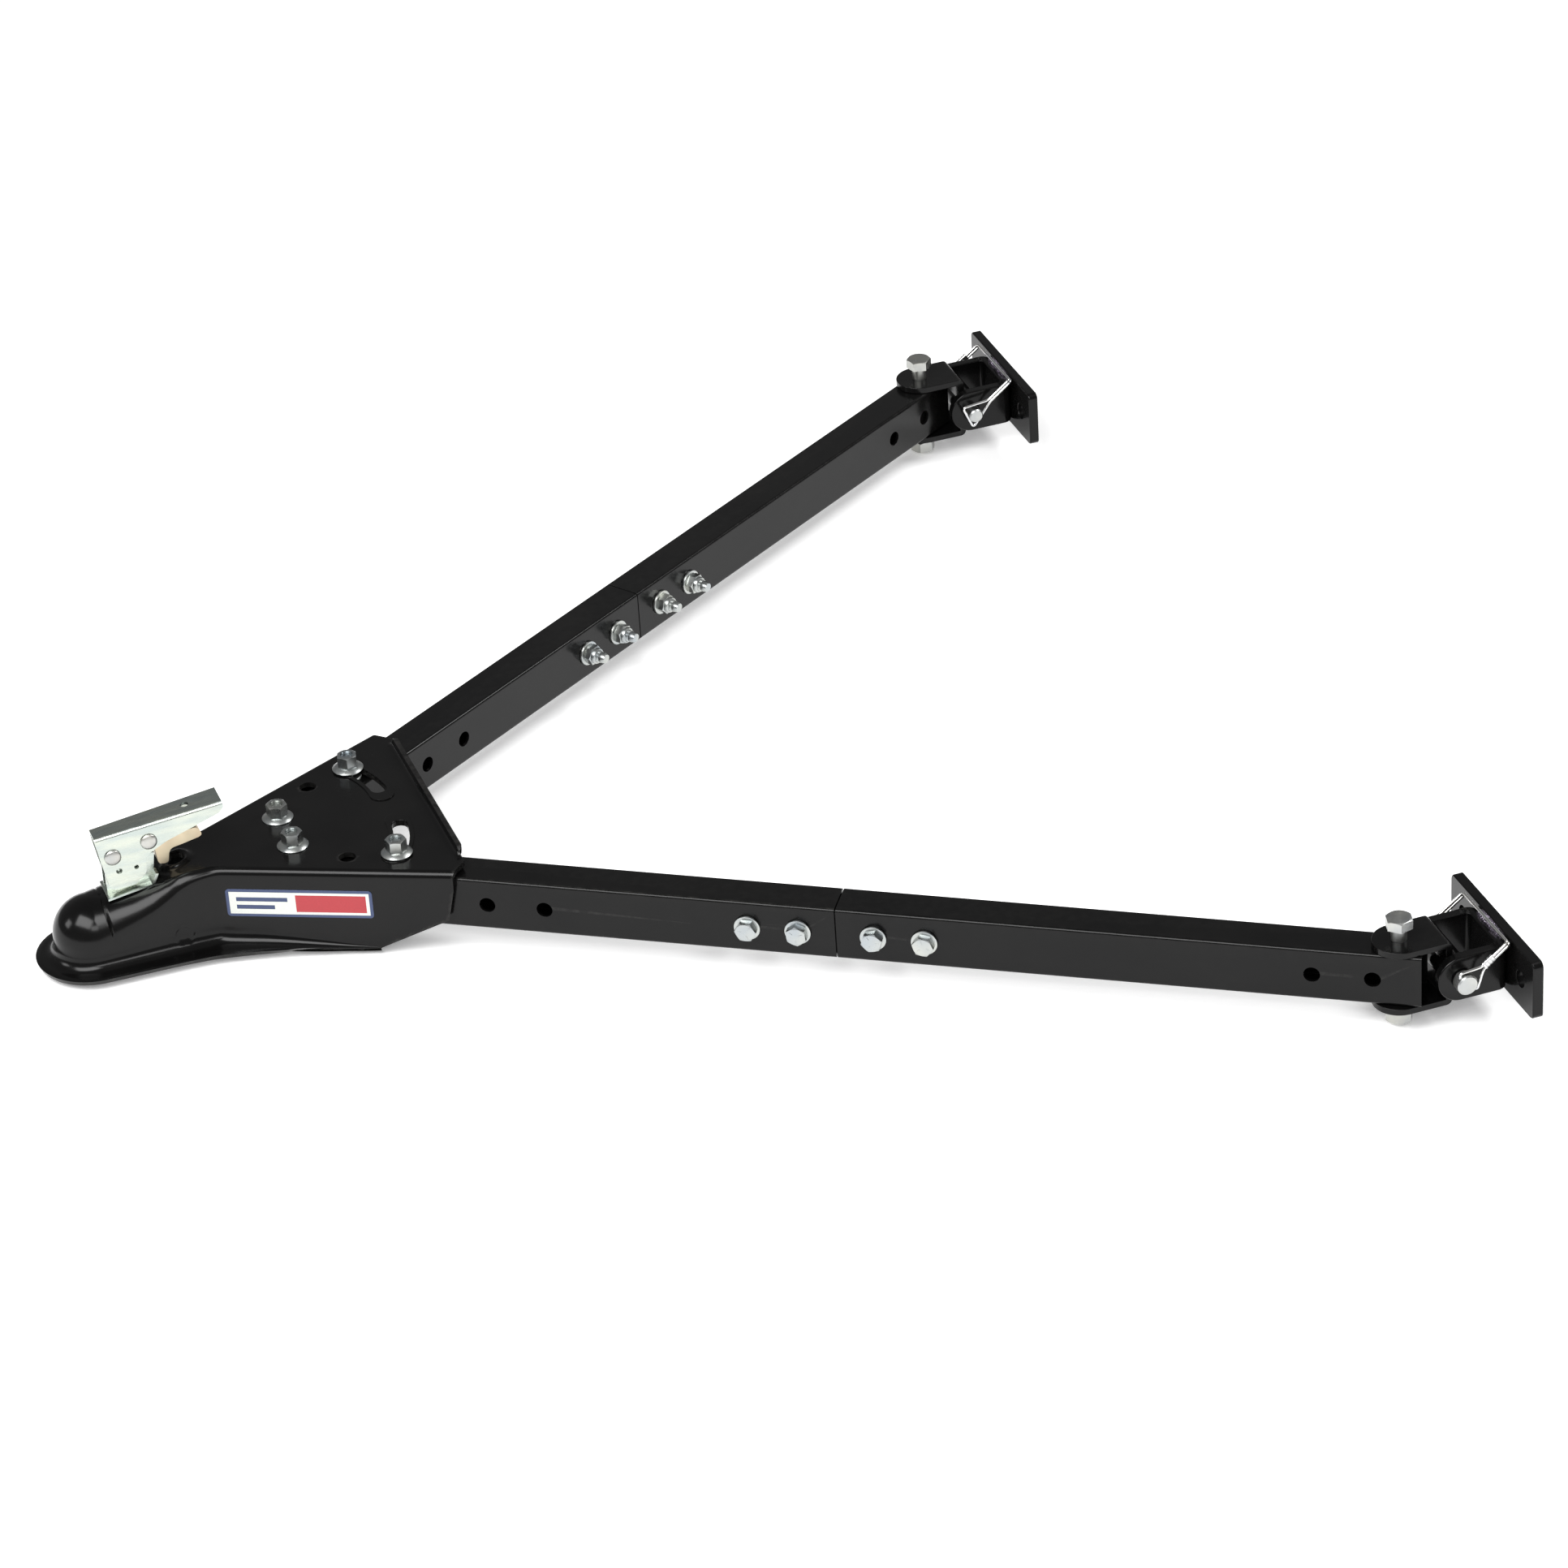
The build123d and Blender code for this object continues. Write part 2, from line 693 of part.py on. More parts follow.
def hitch_pin(name, side):
    """The cross pin, with a drilled head on the outer side."""
    outward = Plane(origin=(pin_x, side * yoke_y, arm_level), x_dir=(1, 0, 0), z_dir=(0, side, 0))
    with BuildPart() as piece:
        with BuildSketch(outward.offset(-pin_half_length)):
            Circle(pin_radius)
        extrude(amount=2 * pin_half_length - 1)
        with BuildSketch(outward.offset(pin_half_length - 9)):
            Circle(8)
        extrude(amount=9)
        ends = piece.edges().filter_by(GeomType.CIRCLE).group_by(Axis.Y)
        chamfer(ends[0] + ends[-1], 1)
        bore(Plane((pin_x, side * (yoke_y + wire_y), arm_level), z_dir=(1, 0, -1)), wire_radius, 40)
    finish(piece, name)


def pin_bail(name, side):
    """The doubled spring-wire bail, from the pin's head over the clevis to its tail."""
    corner = (33.0, 25.3)
    across = (0.6 * strand_offset, 0.8 * strand_offset)
    upper = (corner[0] - across[0], corner[1] + across[1])
    lower = (corner[0] + across[0], corner[1] - across[1])
    split_upper = (13 - across[0], 10.3 + across[1])
    split_lower = (13 + across[0], 10.3 - across[1])
    outer = side * wire_y
    route = [
        (-4.6, outer, 4.6),
        (-5.2, outer, 9.6),
        (split_upper[0], outer, split_upper[1]),
        (upper[0], outer, upper[1]),
        (upper[0], -outer, upper[1]),
        (split_upper[0], -outer, split_upper[1]),
        (-11, -outer, 8.7),
        (-2.2, -outer, -11.3),
        (split_lower[0], -outer, split_lower[1]),
        (lower[0], -outer, lower[1]),
        (lower[0], outer, lower[1]),
        (split_lower[0], outer, split_lower[1]),
        (8.4, outer, -6.5),
        (4.6, outer, -4.6),
    ]
    points = [(pin_x + x, side * yoke_y + y, arm_level + z) for x, y, z in route]
    with BuildPart() as piece:
        with BuildLine() as wire:
            FilletPolyline(*points, radius=1.6)
        with BuildSketch(Plane(origin=wire.line @ 0, z_dir=wire.line % 0)):
            Circle(wire_radius)
        sweep(is_frenet=False, transition=Transition.ROUND)
    finish(piece, name)


def bail_sleeve(name, side):
    """The crimped sleeve that holds the bail's two strands together by the pin's head."""
    lean = Plane(
        origin=(pin_x + 13.6, side * (yoke_y + wire_y), arm_level + 11.2),
        x_dir=(0, 1, 0),
        z_dir=(0.8, 0, 0.6),
    )
    with BuildPart() as piece:
        with BuildSketch(lean):
            RectangleRounded(3.6, 6.4, 1.5)
        extrude(amount=10)
    finish(piece, name)


for label, side in sides.items():
    bolts = [(tube_seam + offset, bolt_radius) for offset in splice_offsets]
    spares = [(station, spare_hole_radius) for station in front_spare_holes]
    tube(
        f"{label}_front_tube",
        side,
        tube_front,
        tube_seam - seam_gap / 2,
        bolts[:2] + spares,
        [(0, bolt_radius + running_gap), (slot_station, bolt_radius)],
    )
    spares = [(station, spare_hole_radius) for station in rear_spare_holes]
    tube(
        f"{label}_rear_tube",
        side,
        tube_seam + seam_gap / 2,
        tube_end,
        bolts[2:] + spares,
        [(yoke_station, pin_radius)],
    )
    splice_sleeve(f"{label}_splice_sleeve", side)
    splice_bolts(f"{label}_splice_bolts", side)
    splice_washers(f"{label}_splice_washers", side)
    splice_nuts(f"{label}_splice_nuts", side)
    slot_fasteners(label, side)
    yoke_fasteners(label, side)
    yoke_strap(f"{label}_yoke_upper_strap", side, 1)
    yoke_strap(f"{label}_yoke_lower_strap", side, -1)
    yoke_barrel(f"{label}_yoke_barrel", side)
    clevis(f"{label}_clevis", side)
    bumper_plate(f"{label}_bumper_plate", side)
    clevis_weld(f"{label}_clevis_weld", side)
    hitch_pin(f"{label}_hitch_pin", side)
    pin_bail(f"{label}_pin_bail", side)
    bail_sleeve(f"{label}_bail_sleeve", side)
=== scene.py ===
import json
import math

import bmesh
import bpy
from mathutils import Matrix, Vector


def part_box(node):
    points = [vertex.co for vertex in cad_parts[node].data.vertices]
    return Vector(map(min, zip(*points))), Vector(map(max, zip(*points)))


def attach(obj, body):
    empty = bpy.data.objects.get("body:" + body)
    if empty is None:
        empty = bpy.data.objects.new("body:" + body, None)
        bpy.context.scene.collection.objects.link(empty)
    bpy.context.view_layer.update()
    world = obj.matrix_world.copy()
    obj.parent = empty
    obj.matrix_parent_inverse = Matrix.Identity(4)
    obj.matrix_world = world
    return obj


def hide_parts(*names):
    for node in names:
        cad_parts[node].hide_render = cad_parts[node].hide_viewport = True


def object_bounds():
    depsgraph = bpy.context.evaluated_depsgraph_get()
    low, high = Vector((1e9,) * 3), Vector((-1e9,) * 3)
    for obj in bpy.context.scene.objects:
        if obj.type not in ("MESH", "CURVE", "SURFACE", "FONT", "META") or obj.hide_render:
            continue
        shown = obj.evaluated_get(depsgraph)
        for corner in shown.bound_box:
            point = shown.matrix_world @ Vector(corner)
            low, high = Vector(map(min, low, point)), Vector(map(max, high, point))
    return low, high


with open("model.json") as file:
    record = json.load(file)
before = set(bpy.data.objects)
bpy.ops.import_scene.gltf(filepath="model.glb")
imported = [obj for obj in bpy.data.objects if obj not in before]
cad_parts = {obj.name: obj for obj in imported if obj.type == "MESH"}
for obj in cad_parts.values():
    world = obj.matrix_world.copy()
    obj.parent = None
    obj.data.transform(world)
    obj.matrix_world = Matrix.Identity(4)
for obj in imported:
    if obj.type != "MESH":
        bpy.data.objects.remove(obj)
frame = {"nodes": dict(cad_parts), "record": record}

cad_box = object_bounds()
MM = 0.001
joints = {joint["name"]: joint for joint in frame["record"]["behaviour"]["joints"]}
SIDES = {"left": -1, "right": 1}


# ------------------------------------------------------------------ materials

class Nodes:
    """A short way to write a material's node tree."""

    def __init__(self, name):
        self.material = bpy.data.materials.new(name)
        self.material.use_nodes = True
        self.tree = self.material.node_tree
        self.tree.nodes.clear()
        self.output = self.tree.nodes.new("ShaderNodeOutputMaterial")
        self.shader = self.tree.nodes.new("ShaderNodeBsdfPrincipled")
        self.link(self.shader.outputs["BSDF"], self.output.inputs["Surface"])
        self.place = self.tree.nodes.new("ShaderNodeTexCoord").outputs["Object"]

    def link(self, source, target):
        self.tree.links.new(source, target)

    def set(self, **values):
        for key, value in values.items():
            self.shader.inputs[key.replace("_", " ")].default_value = value

    def scaled(self, factors):
        mapping = self.tree.nodes.new("ShaderNodeMapping")
        mapping.inputs["Scale"].default_value = factors
        self.link(self.place, mapping.inputs["Vector"])
        return mapping.outputs["Vector"]

    def noise(self, scale, detail=4.0, roughness=0.55, vector=None):
        node = self.tree.nodes.new("ShaderNodeTexNoise")
        node.inputs["Scale"].default_value = scale
        node.inputs["Detail"].default_value = detail
        node.inputs["Roughness"].default_value = roughness
        self.link(vector or self.place, node.inputs["Vector"])
        return node.outputs["Fac"]

    def ramp(self, value, stops):
        node = self.tree.nodes.new("ShaderNodeValToRGB")
        elements = node.color_ramp.elements
        while len(elements) < len(stops):
            elements.new(0.5)
        for element, (position, colour) in zip(elements, stops):
            element.position = position
            grey = isinstance(colour, float)
            element.color = (colour, colour, colour, 1) if grey else (*colour, 1)
        self.link(value, node.inputs["Fac"])
        return node.outputs["Color"]

    def mix(self, share, first, second, mode="MIX"):
        node = self.tree.nodes.new("ShaderNodeMix")
        node.data_type = "RGBA"
        node.blend_type = mode
        for value, socket in ((share, node.inputs[0]), (first, node.inputs[6]), (second, node.inputs[7])):
            if isinstance(value, bpy.types.NodeSocket):
                self.link(value, socket)
            elif isinstance(value, float):
                socket.default_value = value
            else:
                socket.default_value = (*value, 1)
        return node.outputs[2]

    def maths(self, operation, first, second=0.0):
        node = self.tree.nodes.new("ShaderNodeMath")
        node.operation = operation
        for value, socket in zip((first, second), node.inputs):
            if isinstance(value, bpy.types.NodeSocket):
                self.link(value, socket)
            else:
                socket.default_value = value
        return node.outputs[0]

    def edge(self):
        """How convex the surface is here: 0.5 on a flat face, more on an outer edge."""
        return self.tree.nodes.new("ShaderNodeNewGeometry").outputs["Pointiness"]

    def bump(self, height, distance, strength=1.0):
        node = self.tree.nodes.new("ShaderNodeBump")
        node.inputs["Strength"].default_value = strength
        node.inputs["Distance"].default_value = distance
        self.link(height, node.inputs["Height"])
        self.link(node.outputs["Normal"], self.shader.inputs["Normal"])


def black_coat():
    """Semi-gloss black powder coat: a faint orange peel, dusty variation and paler edges, a painted
    highlight.
    """
    n = Nodes("black_coat")
    n.set(Metallic=0.0, Specular_IOR_Level=0.2, Coat_Weight=0.0)
    cloud = n.ramp(
        n.noise(14, 5),
        [(0.35, (0.0016, 0.0016, 0.0017)), (0.7, (0.0034, 0.0033, 0.0032))],
    )
    # Paler, speckled base colour on convex edges: a painted highlight along the edges.
    painted_curvature_shading = n.ramp(n.edge(), [(0.53, 0.0), (0.62, 0.45)])
    speck = n.ramp(n.noise(160, 6), [(0.4, 0.15), (0.7, 1.0)])
    base = n.mix(n.maths("MULTIPLY", painted_curvature_shading, speck), cloud, (0.035, 0.034, 0.032))
    n.link(base, n.shader.inputs["Base Color"])
    n.link(n.ramp(n.noise(22, 6), [(0.3, 0.15), (0.75, 0.23)]), n.shader.inputs["Roughness"])
    n.bump(n.noise(420, 2, 0.4), 0.00002, 0.35)
    return n.material


def plated(name, colour, tint, roughness, grain=(1.0, 1.0, 1.0), scale=120, bump=0.00003):
    """Bare or plated metal: a cloudy tint, uneven gloss, fine grain and painted shade in the hollows."""
    n = Nodes(name)
    n.set(Metallic=1.0)
    place = n.scaled(grain)
    cloud = n.ramp(n.noise(scale * 0.35, 4, 0.5, place), [(0.35, colour), (0.68, tint)])
    stain = n.ramp(n.noise(scale * 0.1, 3), [(0.45, 0.0), (0.8, 0.35)])
    darker = tuple(0.72 * c for c in tint)
    # Darker base colour in concave places: painted shade in the hollows.
    painted_curvature_shading = n.ramp(n.edge(), [(0.44, 0.5), (0.5, 0.0)])
    base = n.mix(painted_curvature_shading, n.mix(stain, cloud, darker), tuple(0.4 * c for c in colour))
    n.link(base, n.shader.inputs["Base Color"])
    low, high = roughness
    n.link(n.ramp(n.noise(scale, 6, 0.6, place), [(0.3, low), (0.7, high)]), n.shader.inputs["Roughness"])
    n.bump(n.noise(scale * 4, 3, 0.5, place), bump, 0.7)
    return n.material


def weld_metal():
    """A coated weld bead: dark, glossy and rippled."""
    n = Nodes("weld")
    n.set(Specular_IOR_Level=0.8, Coat_Weight=0.9, Coat_Roughness=0.04)
    n.link(
        n.ramp(n.noise(380, 5), [(0.4, (0.03, 0.026, 0.034)), (0.66, (0.34, 0.29, 0.38))]),
        n.shader.inputs["Base Color"],
    )
    n.link(n.ramp(n.noise(300, 4), [(0.3, 0.08), (0.7, 0.25)]), n.shader.inputs["Roughness"])
    n.set(Metallic=0.8)
    n.bump(n.noise(420, 4), 0.0006, 0.8)
    return n.material


def sticker(centre, along, half_length, half_height):
    """A printed label with no lettering: a navy edge, a pale panel, two navy bars and a red block."""
    n = Nodes("label")
    n.set(Roughness=0.3, Specular_IOR_Level=0.4, Coat_Weight=0.3, Coat_Roughness=0.1)
    shifted = n.tree.nodes.new("ShaderNodeVectorMath")
    shifted.operation = "SUBTRACT"
    n.link(n.place, shifted.inputs[0])
    shifted.inputs[1].default_value = centre
    reach = n.tree.nodes.new("ShaderNodeVectorMath")
    reach.operation = "DOT_PRODUCT"
    n.link(shifted.outputs[0], reach.inputs[0])
    reach.inputs[1].default_value = along
    u = n.maths("DIVIDE", reach.outputs["Value"], half_length)
    split = n.tree.nodes.new("ShaderNodeSeparateXYZ")
    n.link(shifted.outputs[0], split.inputs[0])
    v = n.maths("DIVIDE", split.outputs["Z"], half_height)

    def between(value, low, high):
        above = n.maths("GREATER_THAN", value, low)
        below = n.maths("LESS_THAN", value, high)
        return n.maths("MULTIPLY", above, below)

    def block(left, right, bottom, top):
        return n.maths("MULTIPLY", between(u, left, right), between(v, bottom, top))

    navy, pale, red = (0.022, 0.04, 0.11), (0.6, 0.62, 0.58), (0.36, 0.018, 0.026)
    colour = n.mix(block(-0.955, 0.955, -0.8, 0.8), navy, pale)
    colour = n.mix(block(-0.05, 0.91, -0.62, 0.62), colour, red)
    colour = n.mix(block(-0.86, -0.16, 0.12, 0.42), colour, navy)
    colour = n.mix(block(-0.86, -0.34, -0.44, -0.14), colour, navy)
    print_grain = n.ramp(n.noise(900, 3), [(0.35, (0.9, 0.9, 0.9)), (0.7, (1.0, 1.0, 1.0))])
    n.link(n.mix(1.0, colour, print_grain, "MULTIPLY"), n.shader.inputs["Base Color"])
    n.bump(n.noise(700, 2), 0.00002, 0.5)
    return n.material


# Name: colour, tint, (least, most) roughness, then any grain, noise scale and bump height in metres.
PLATED = {
    "zinc": ((0.36, 0.39, 0.41), (0.47, 0.48, 0.45), (0.24, 0.38)),
    "latch_zinc": ((0.42, 0.47, 0.45), (0.53, 0.56, 0.49), (0.2, 0.36), (1, 5, 5), 90),
    "trigger_zinc": ((0.56, 0.5, 0.36), (0.6, 0.5, 0.36), (0.36, 0.5), (1, 1, 1), 110),
    "rivet_steel": ((0.42, 0.43, 0.42), (0.5, 0.49, 0.45), (0.3, 0.46), (1, 1, 1), 200),
    "grey_steel": ((0.42, 0.43, 0.43), (0.52, 0.52, 0.48), (0.28, 0.42), (1, 1, 1), 160),
    "spring_steel": ((0.42, 0.42, 0.44), (0.5, 0.48, 0.46), (0.25, 0.4)),
    "cast_clamp": ((0.16, 0.16, 0.17), (0.22, 0.21, 0.2), (0.5, 0.7), (1, 1, 1), 260, 0.0002),
    "wire": ((0.6, 0.61, 0.63), (0.7, 0.69, 0.66), (0.14, 0.26)),
}
MATERIALS = {"black_coat": black_coat()}
MATERIALS.update({name: plated(name, *recipe) for name, recipe in PLATED.items()})
MATERIALS["weld"] = weld_metal()


# ------------------------------------------------------------------ mesh tools

def piece(name, mesh_source, slot, body, nodes=(), smooth=35):
    """Makes an object from a bmesh in millimetres, paints it and joins it to its body."""
    bmesh.ops.recalc_face_normals(mesh_source, faces=mesh_source.faces)
    mesh = bpy.data.meshes.new(name)
    mesh_source.to_mesh(mesh)
    mesh_source.free()
    mesh.transform(Matrix.Scale(MM, 4))
    obj = bpy.data.objects.new(name, mesh)
    bpy.context.scene.collection.objects.link(obj)
    finish_piece(obj, slot, body, nodes, smooth)
    return obj


def finish_piece(obj, slot, body, nodes=(), smooth=30):
    """Paints an object, shades it and joins it to its body."""
    obj.data.materials.clear()
    obj.data.materials.append(MATERIALS[slot])
    shade(obj, smooth)
    if nodes:
        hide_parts(*nodes)
    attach(obj, body)


def shade(obj, angle):
    """Smooth faces, with edges sharper than the angle kept crisp."""
    mesh = obj.data
    mesh.shade_smooth()
    mesh.set_sharp_from_angle(angle=math.radians(angle))


def soften(obj, width, segments=2, angle=35):
    """Rounds off the crisp edges and evens the shading of flat faces."""
    bevel = obj.modifiers.new("soft_edges", "BEVEL")
    bevel.width = width * MM
    bevel.segments = segments
    bevel.limit_method = "ANGLE"
    bevel.angle_limit = math.radians(angle)
    bevel.use_clamp_overlap = True
    bevel.harden_normals = False
    even = obj.modifiers.new("even_shading", "WEIGHTED_NORMAL")
    even.keep_sharp = True
    even.weight = 80


def refined(node, slot, body, width, segments=2):
    """A CAD node's own shape as a clean mesh with softened edges."""
    source = bmesh.new()
    source.from_mesh(frame["nodes"][node].data)
    source.transform(frame["nodes"][node].matrix_world)
    source.transform(Matrix.Scale(1 / MM, 4))
    bmesh.ops.remove_doubles(source, verts=source.verts, dist=0.002)
    bmesh.ops.dissolve_limit(source, angle_limit=math.radians(0.6), verts=source.verts, edges=source.edges)
    obj = piece(f"{node}_finished", source, slot, body, [node], smooth=32)
    soften(obj, width, segments)
    return obj


def frame_at(origin, axis, spin=0.0):
    """A matrix that stands a part's +Z along an axis at a point, in millimetres."""
    turn = Vector(axis).normalized().to_track_quat("Z", "Y").to_matrix().to_4x4()
    return Matrix.Translation(origin) @ turn @ Matrix.Rotation(spin, 4, "Z")


def lathe(mesh, profile, place, segments=56):
    """Adds a turned shape: profile is (radius, height) from one end to the other."""
    rings = []
    for radius, height in profile:
        if radius < 1e-6:
            rings.append([mesh.verts.new(place @ Vector((0, 0, height)))])
            continue
        ring = []
        for step in range(segments):
            angle = 2 * math.pi * step / segments
            corner = Vector((radius * math.cos(angle), radius * math.sin(angle), height))
            ring.append(mesh.verts.new(place @ corner))
        rings.append(ring)
    join_rings(mesh, rings)


def join_rings(mesh, rings):
    """Skins between neighbouring rings, which have one vertex or a full circle each."""
    for lower, upper in zip(rings, rings[1:]):
        count = max(len(lower), len(upper))
        for step in range(count):
            following = (step + 1) % count
            corners = []
            for vertex in (
                lower[step % len(lower)],
                lower[following % len(lower)],
                upper[following % len(upper)],
                upper[step % len(upper)],
            ):
                if vertex not in corners:
                    corners.append(vertex)
            if len(corners) > 2:
                mesh.faces.new(corners)


def hexagon(angle, flats):
    """The distance from a hexagon's centre to its edge, in one direction."""
    sector = (angle + math.pi / 6) % (math.pi / 3) - math.pi / 6
    return flats / 2 / math.cos(sector)


def hex_block(mesh, flats, height, place, bore=0.0, chamfer_base=False):
    """Adds a hexagon head or nut with its turned chamfer."""
    segments = 96
    face_radius = flats / 2 * 0.96
    shares = [1.0, 0.97, 0.93, 0.88, 0.8]
    inner = bore / (flats / 2) if bore else 0.0

    def surface(share, angle, top):
        radius = hexagon(angle, flats) * share
        if share <= 0.8:
            radius = flats / 2 * share
        drop = max(0.0, radius - face_radius) * 0.58
        level = height - drop if top else (drop if chamfer_base else 0.0)
        return Vector((radius * math.cos(angle), radius * math.sin(angle), level))

    def ring(share, top):
        angles = [2 * math.pi * step / segments for step in range(segments)]
        return [mesh.verts.new(place @ surface(share, angle, top)) for angle in angles]

    ladder = shares + ([inner] if bore else [])
    top_rings = [ring(share, True) for share in ladder]
    base_rings = [ring(share, False) for share in ladder]
    rings = list(reversed(base_rings)) + top_rings
    if bore:
        join_rings(mesh, rings + [rings[0]])
    else:
        centre_base = [mesh.verts.new(place @ Vector((0, 0, 0)))]
        centre_top = [mesh.verts.new(place @ Vector((0, 0, height)))]
        join_rings(mesh, [centre_base] + rings + [centre_top])


def grade_marks(mesh, flats, height, place, count):
    """Adds the short raised radial lines that show a bolt's strength grade."""
    inner, outer, half = flats * 0.2, flats * 0.4, 0.32
    sides = ((0, 1, 2, 3), (4, 5, 6, 7), (0, 1, 5, 4), (1, 2, 6, 5), (2, 3, 7, 6), (3, 0, 4, 7))
    for mark in range(count):
        turn = Matrix.Rotation(2 * math.pi * mark / count + 0.35, 4, "Z")
        corners = []
        for z in (height - 0.1, height + 0.22):
            for x, y in ((inner, -half), (outer, -half), (outer, half), (inner, half)):
                corners.append(mesh.verts.new(place @ turn @ Vector((x, y, z))))
        for side in sides:
            mesh.faces.new([corners[index] for index in side])


def thread_profile(radius, start, end, pitch=1.1, point=1.0):
    """A threaded shank's outline from start to end, with a chamfered point."""
    outline = [(0.0, start), (radius, start)]
    turns = int((end - start - point) / pitch)
    for turn in range(turns):
        low = start + turn * pitch
        outline += [(radius, low + 0.3 * pitch), (radius - 0.5, low + 0.62 * pitch)]
    outline += [(radius - 0.3, end - point), (radius - 0.9, end - 0.8)]
    outline += [(radius - 1.3, end - 0.2), (radius - 2.0, end), (0.0, end)]
    return outline


def locking_nut(mesh, flats, height, bore, place):
    """Adds a nylon-insert locking nut: a hexagon with a round rolled collar."""
    body = height * 0.68
    hex_block(mesh, flats, body, place, bore, chamfer_base=True)
    collar = flats / 2 * 0.93
    outline = [
        (bore, body - 0.3),
        (collar, body - 0.3),
        (collar, height - 1.6),
        (collar - 0.5, height - 0.5),
        (collar - 1.6, height),
        (bore + 0.7, height - 0.2),
        (bore, height - 0.8),
        (bore, body - 0.3),
    ]
    lathe(mesh, outline, place)


def flat_washer(mesh, radius, bore, thickness, place):
    """Adds a stamped washer with rolled edges."""
    round_off = 0.45
    outline = [
        (bore, 0.0),
        (radius - round_off, 0.0),
        (radius, round_off),
        (radius, thickness - round_off),
        (radius - 0.13, thickness - 0.13),
        (radius - round_off, thickness),
        (bore + 0.3, thickness),
        (bore, thickness - 0.3),
        (bore, 0.0),
    ]
    lathe(mesh, outline, place)


def dished_washer(mesh, radius, bore, height, place):
    """Adds a domed spring washer, curled under at its rim."""
    outline = [(bore, 0.8), (bore, height)]
    for step in range(13):
        share = step / 12
        level = height * (1 - share**1.7 * 0.78)
        outline.append((bore + 1.6 + (radius - bore - 1.6) * share, level))
    outline += [(radius + 0.02, 0.35), (radius - 0.3, 0.02), (radius - 1.2, 0.15)]
    outline += [(bore + 2.5, 0.8), (bore, 0.8)]
    lathe(mesh, outline, place)


def middle(node):
    """The centre of a CAD node's box, in millimetres."""
    low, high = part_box(node)
    return (Vector(low) + Vector(high)) / 2 / MM


def levels(node):
    """The lowest and highest z of a CAD node's box, in millimetres."""
    return [corner[2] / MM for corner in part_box(node)]


def joint_place(name):
    """Where a joint's axis passes, in millimetres."""
    return Vector(joints[name]["pos_m"]) / MM


# ------------------------------------------------------------------ coupler body

# The coupler's own sizes, in millimetres.
DOME = 29.7
LIP_RADIUS = 44.5
LIP_TOP = -16.0
PLATE_TOP = 46.5
SHEET = 4.0
WALL_REAR = 256.0
PLATE_REAR = 262.0
BODY_REAR = 268.0
TOP_HOLE = (189, 55, 6.5)
REAR_HOLE = (70, 0, 7)
STEM_HOLE = (34, 0, 4.6)
SLOT_REACH = 82
SLOT_HALF = 6
SLOT_BEARINGS = (33.9, 4.9)
NECK_END = 92
NECK_SLIT = 9.2
ROUND_MARK = (63.2, -2.6, 7.2)
THROUGH_PLATE = (30, 70)

# The outline along the body: (x, value) keys.
TOP_KEYS = [
    (0, 29.7), (12, 29.9), (30, 31.6), (44, 34.6), (56, 39.2),
    (66, 43.8), (76, 46.1), (84, 46.5), (270, 46.5),
]
CORNER_KEYS = [(0, 29.7), (10, 26.0), (30, 19.5), (50, 14.5), (66, 10.5), (80, 8.0), (96, 6.5), (270, 6.5)]
LIP_KEYS = [(0, LIP_RADIUS), (76, 47), (130, 60.5), (201, 84.5)]
LEVEL_KEYS = [(0, LIP_TOP), (110, LIP_TOP), (201, -19.7), (300, -19.7)]
FILLET_KEYS = [(0, 9.0), (60, 11.0), (110, 9.0), (190, 4.0)]

# Fasteners: distances across flats, heights and radii, in millimetres.
TUBE_HALF_WIDTH = 15.875
BOLT_FLATS = 14.3
BOLT_HEAD = 6.4
BOLT_RADIUS = 4.75
NUT_HEIGHT = 9.5
NUT_LIFT = 3.0
DISHED_WASHER = (12.0, 4.8, 3.4)
FLAT_WASHER = (10.0, 4.8)
WASHER_THICKNESS = 2.0
YOKE_FLATS = 18.5
YOKE_SHANK = 6.0
YOKE_HEAD = 7.9
YOKE_NUT = 10.0
SPLICE_OFFSETS = (-67.0, -28.5, 28.5, 67.0)

pivots = [joint_place(f"{label}_arm_swing") for label in SIDES]


def eased(x, keys):
    """A smooth value at x through (x, value) keys."""
    if x <= keys[0][0]:
        return keys[0][1]
    for (x0, v0), (x1, v1) in zip(keys, keys[1:]):
        if x <= x1:
            share = (x - x0) / (x1 - x0)
            return v0 + (v1 - v0) * share * share * (3 - 2 * share)
    return keys[-1][1]


def smooth(x, keys):
    """A value at x on a smooth monotone curve through (x, value) keys."""
    slopes = [(b[1] - a[1]) / (b[0] - a[0]) for a, b in zip(keys, keys[1:])]
    for index, (a, b) in enumerate(zip(keys, keys[1:])):
        if x <= b[0] or index == len(keys) - 2:
            run = b[0] - a[0]
            share = min(1.0, max(0.0, (x - a[0]) / run))
            before = slopes[max(0, index - 1)]
            after = slopes[min(len(slopes) - 1, index + 1)]
            here = slopes[index]
            start = 0.0 if before * here <= 0 else 2 * before * here / (before + here)
            end = 0.0 if after * here <= 0 else 2 * after * here / (after + here)
            square, cube = share**2, share**3
            return (
                a[1] * (2 * cube - 3 * square + 1)
                + b[1] * (3 * square - 2 * cube)
                + run * (start * (cube - 2 * square + share) + end * (cube - square))
            )
    return keys[-1][1]


def half_width(x):
    """Half the body's width: a straight neck, then sides that spread to the rear."""
    spread = x - NECK_END
    return 29.7 + 0.3 * min(1.0, max(0.0, x / 72)) + 0.25 * (spread + math.hypot(spread, 3))


def dent(distance, width):
    """A smooth bump of height 1 at 0 that fades out over a width."""
    return math.exp(-((distance / width) ** 2))


def step_up(value, start, end):
    """0 before start, 1 after end and smooth between."""
    share = min(1.0, max(0.0, (value - start) / (end - start)))
    return share * share * (3 - 2 * share)


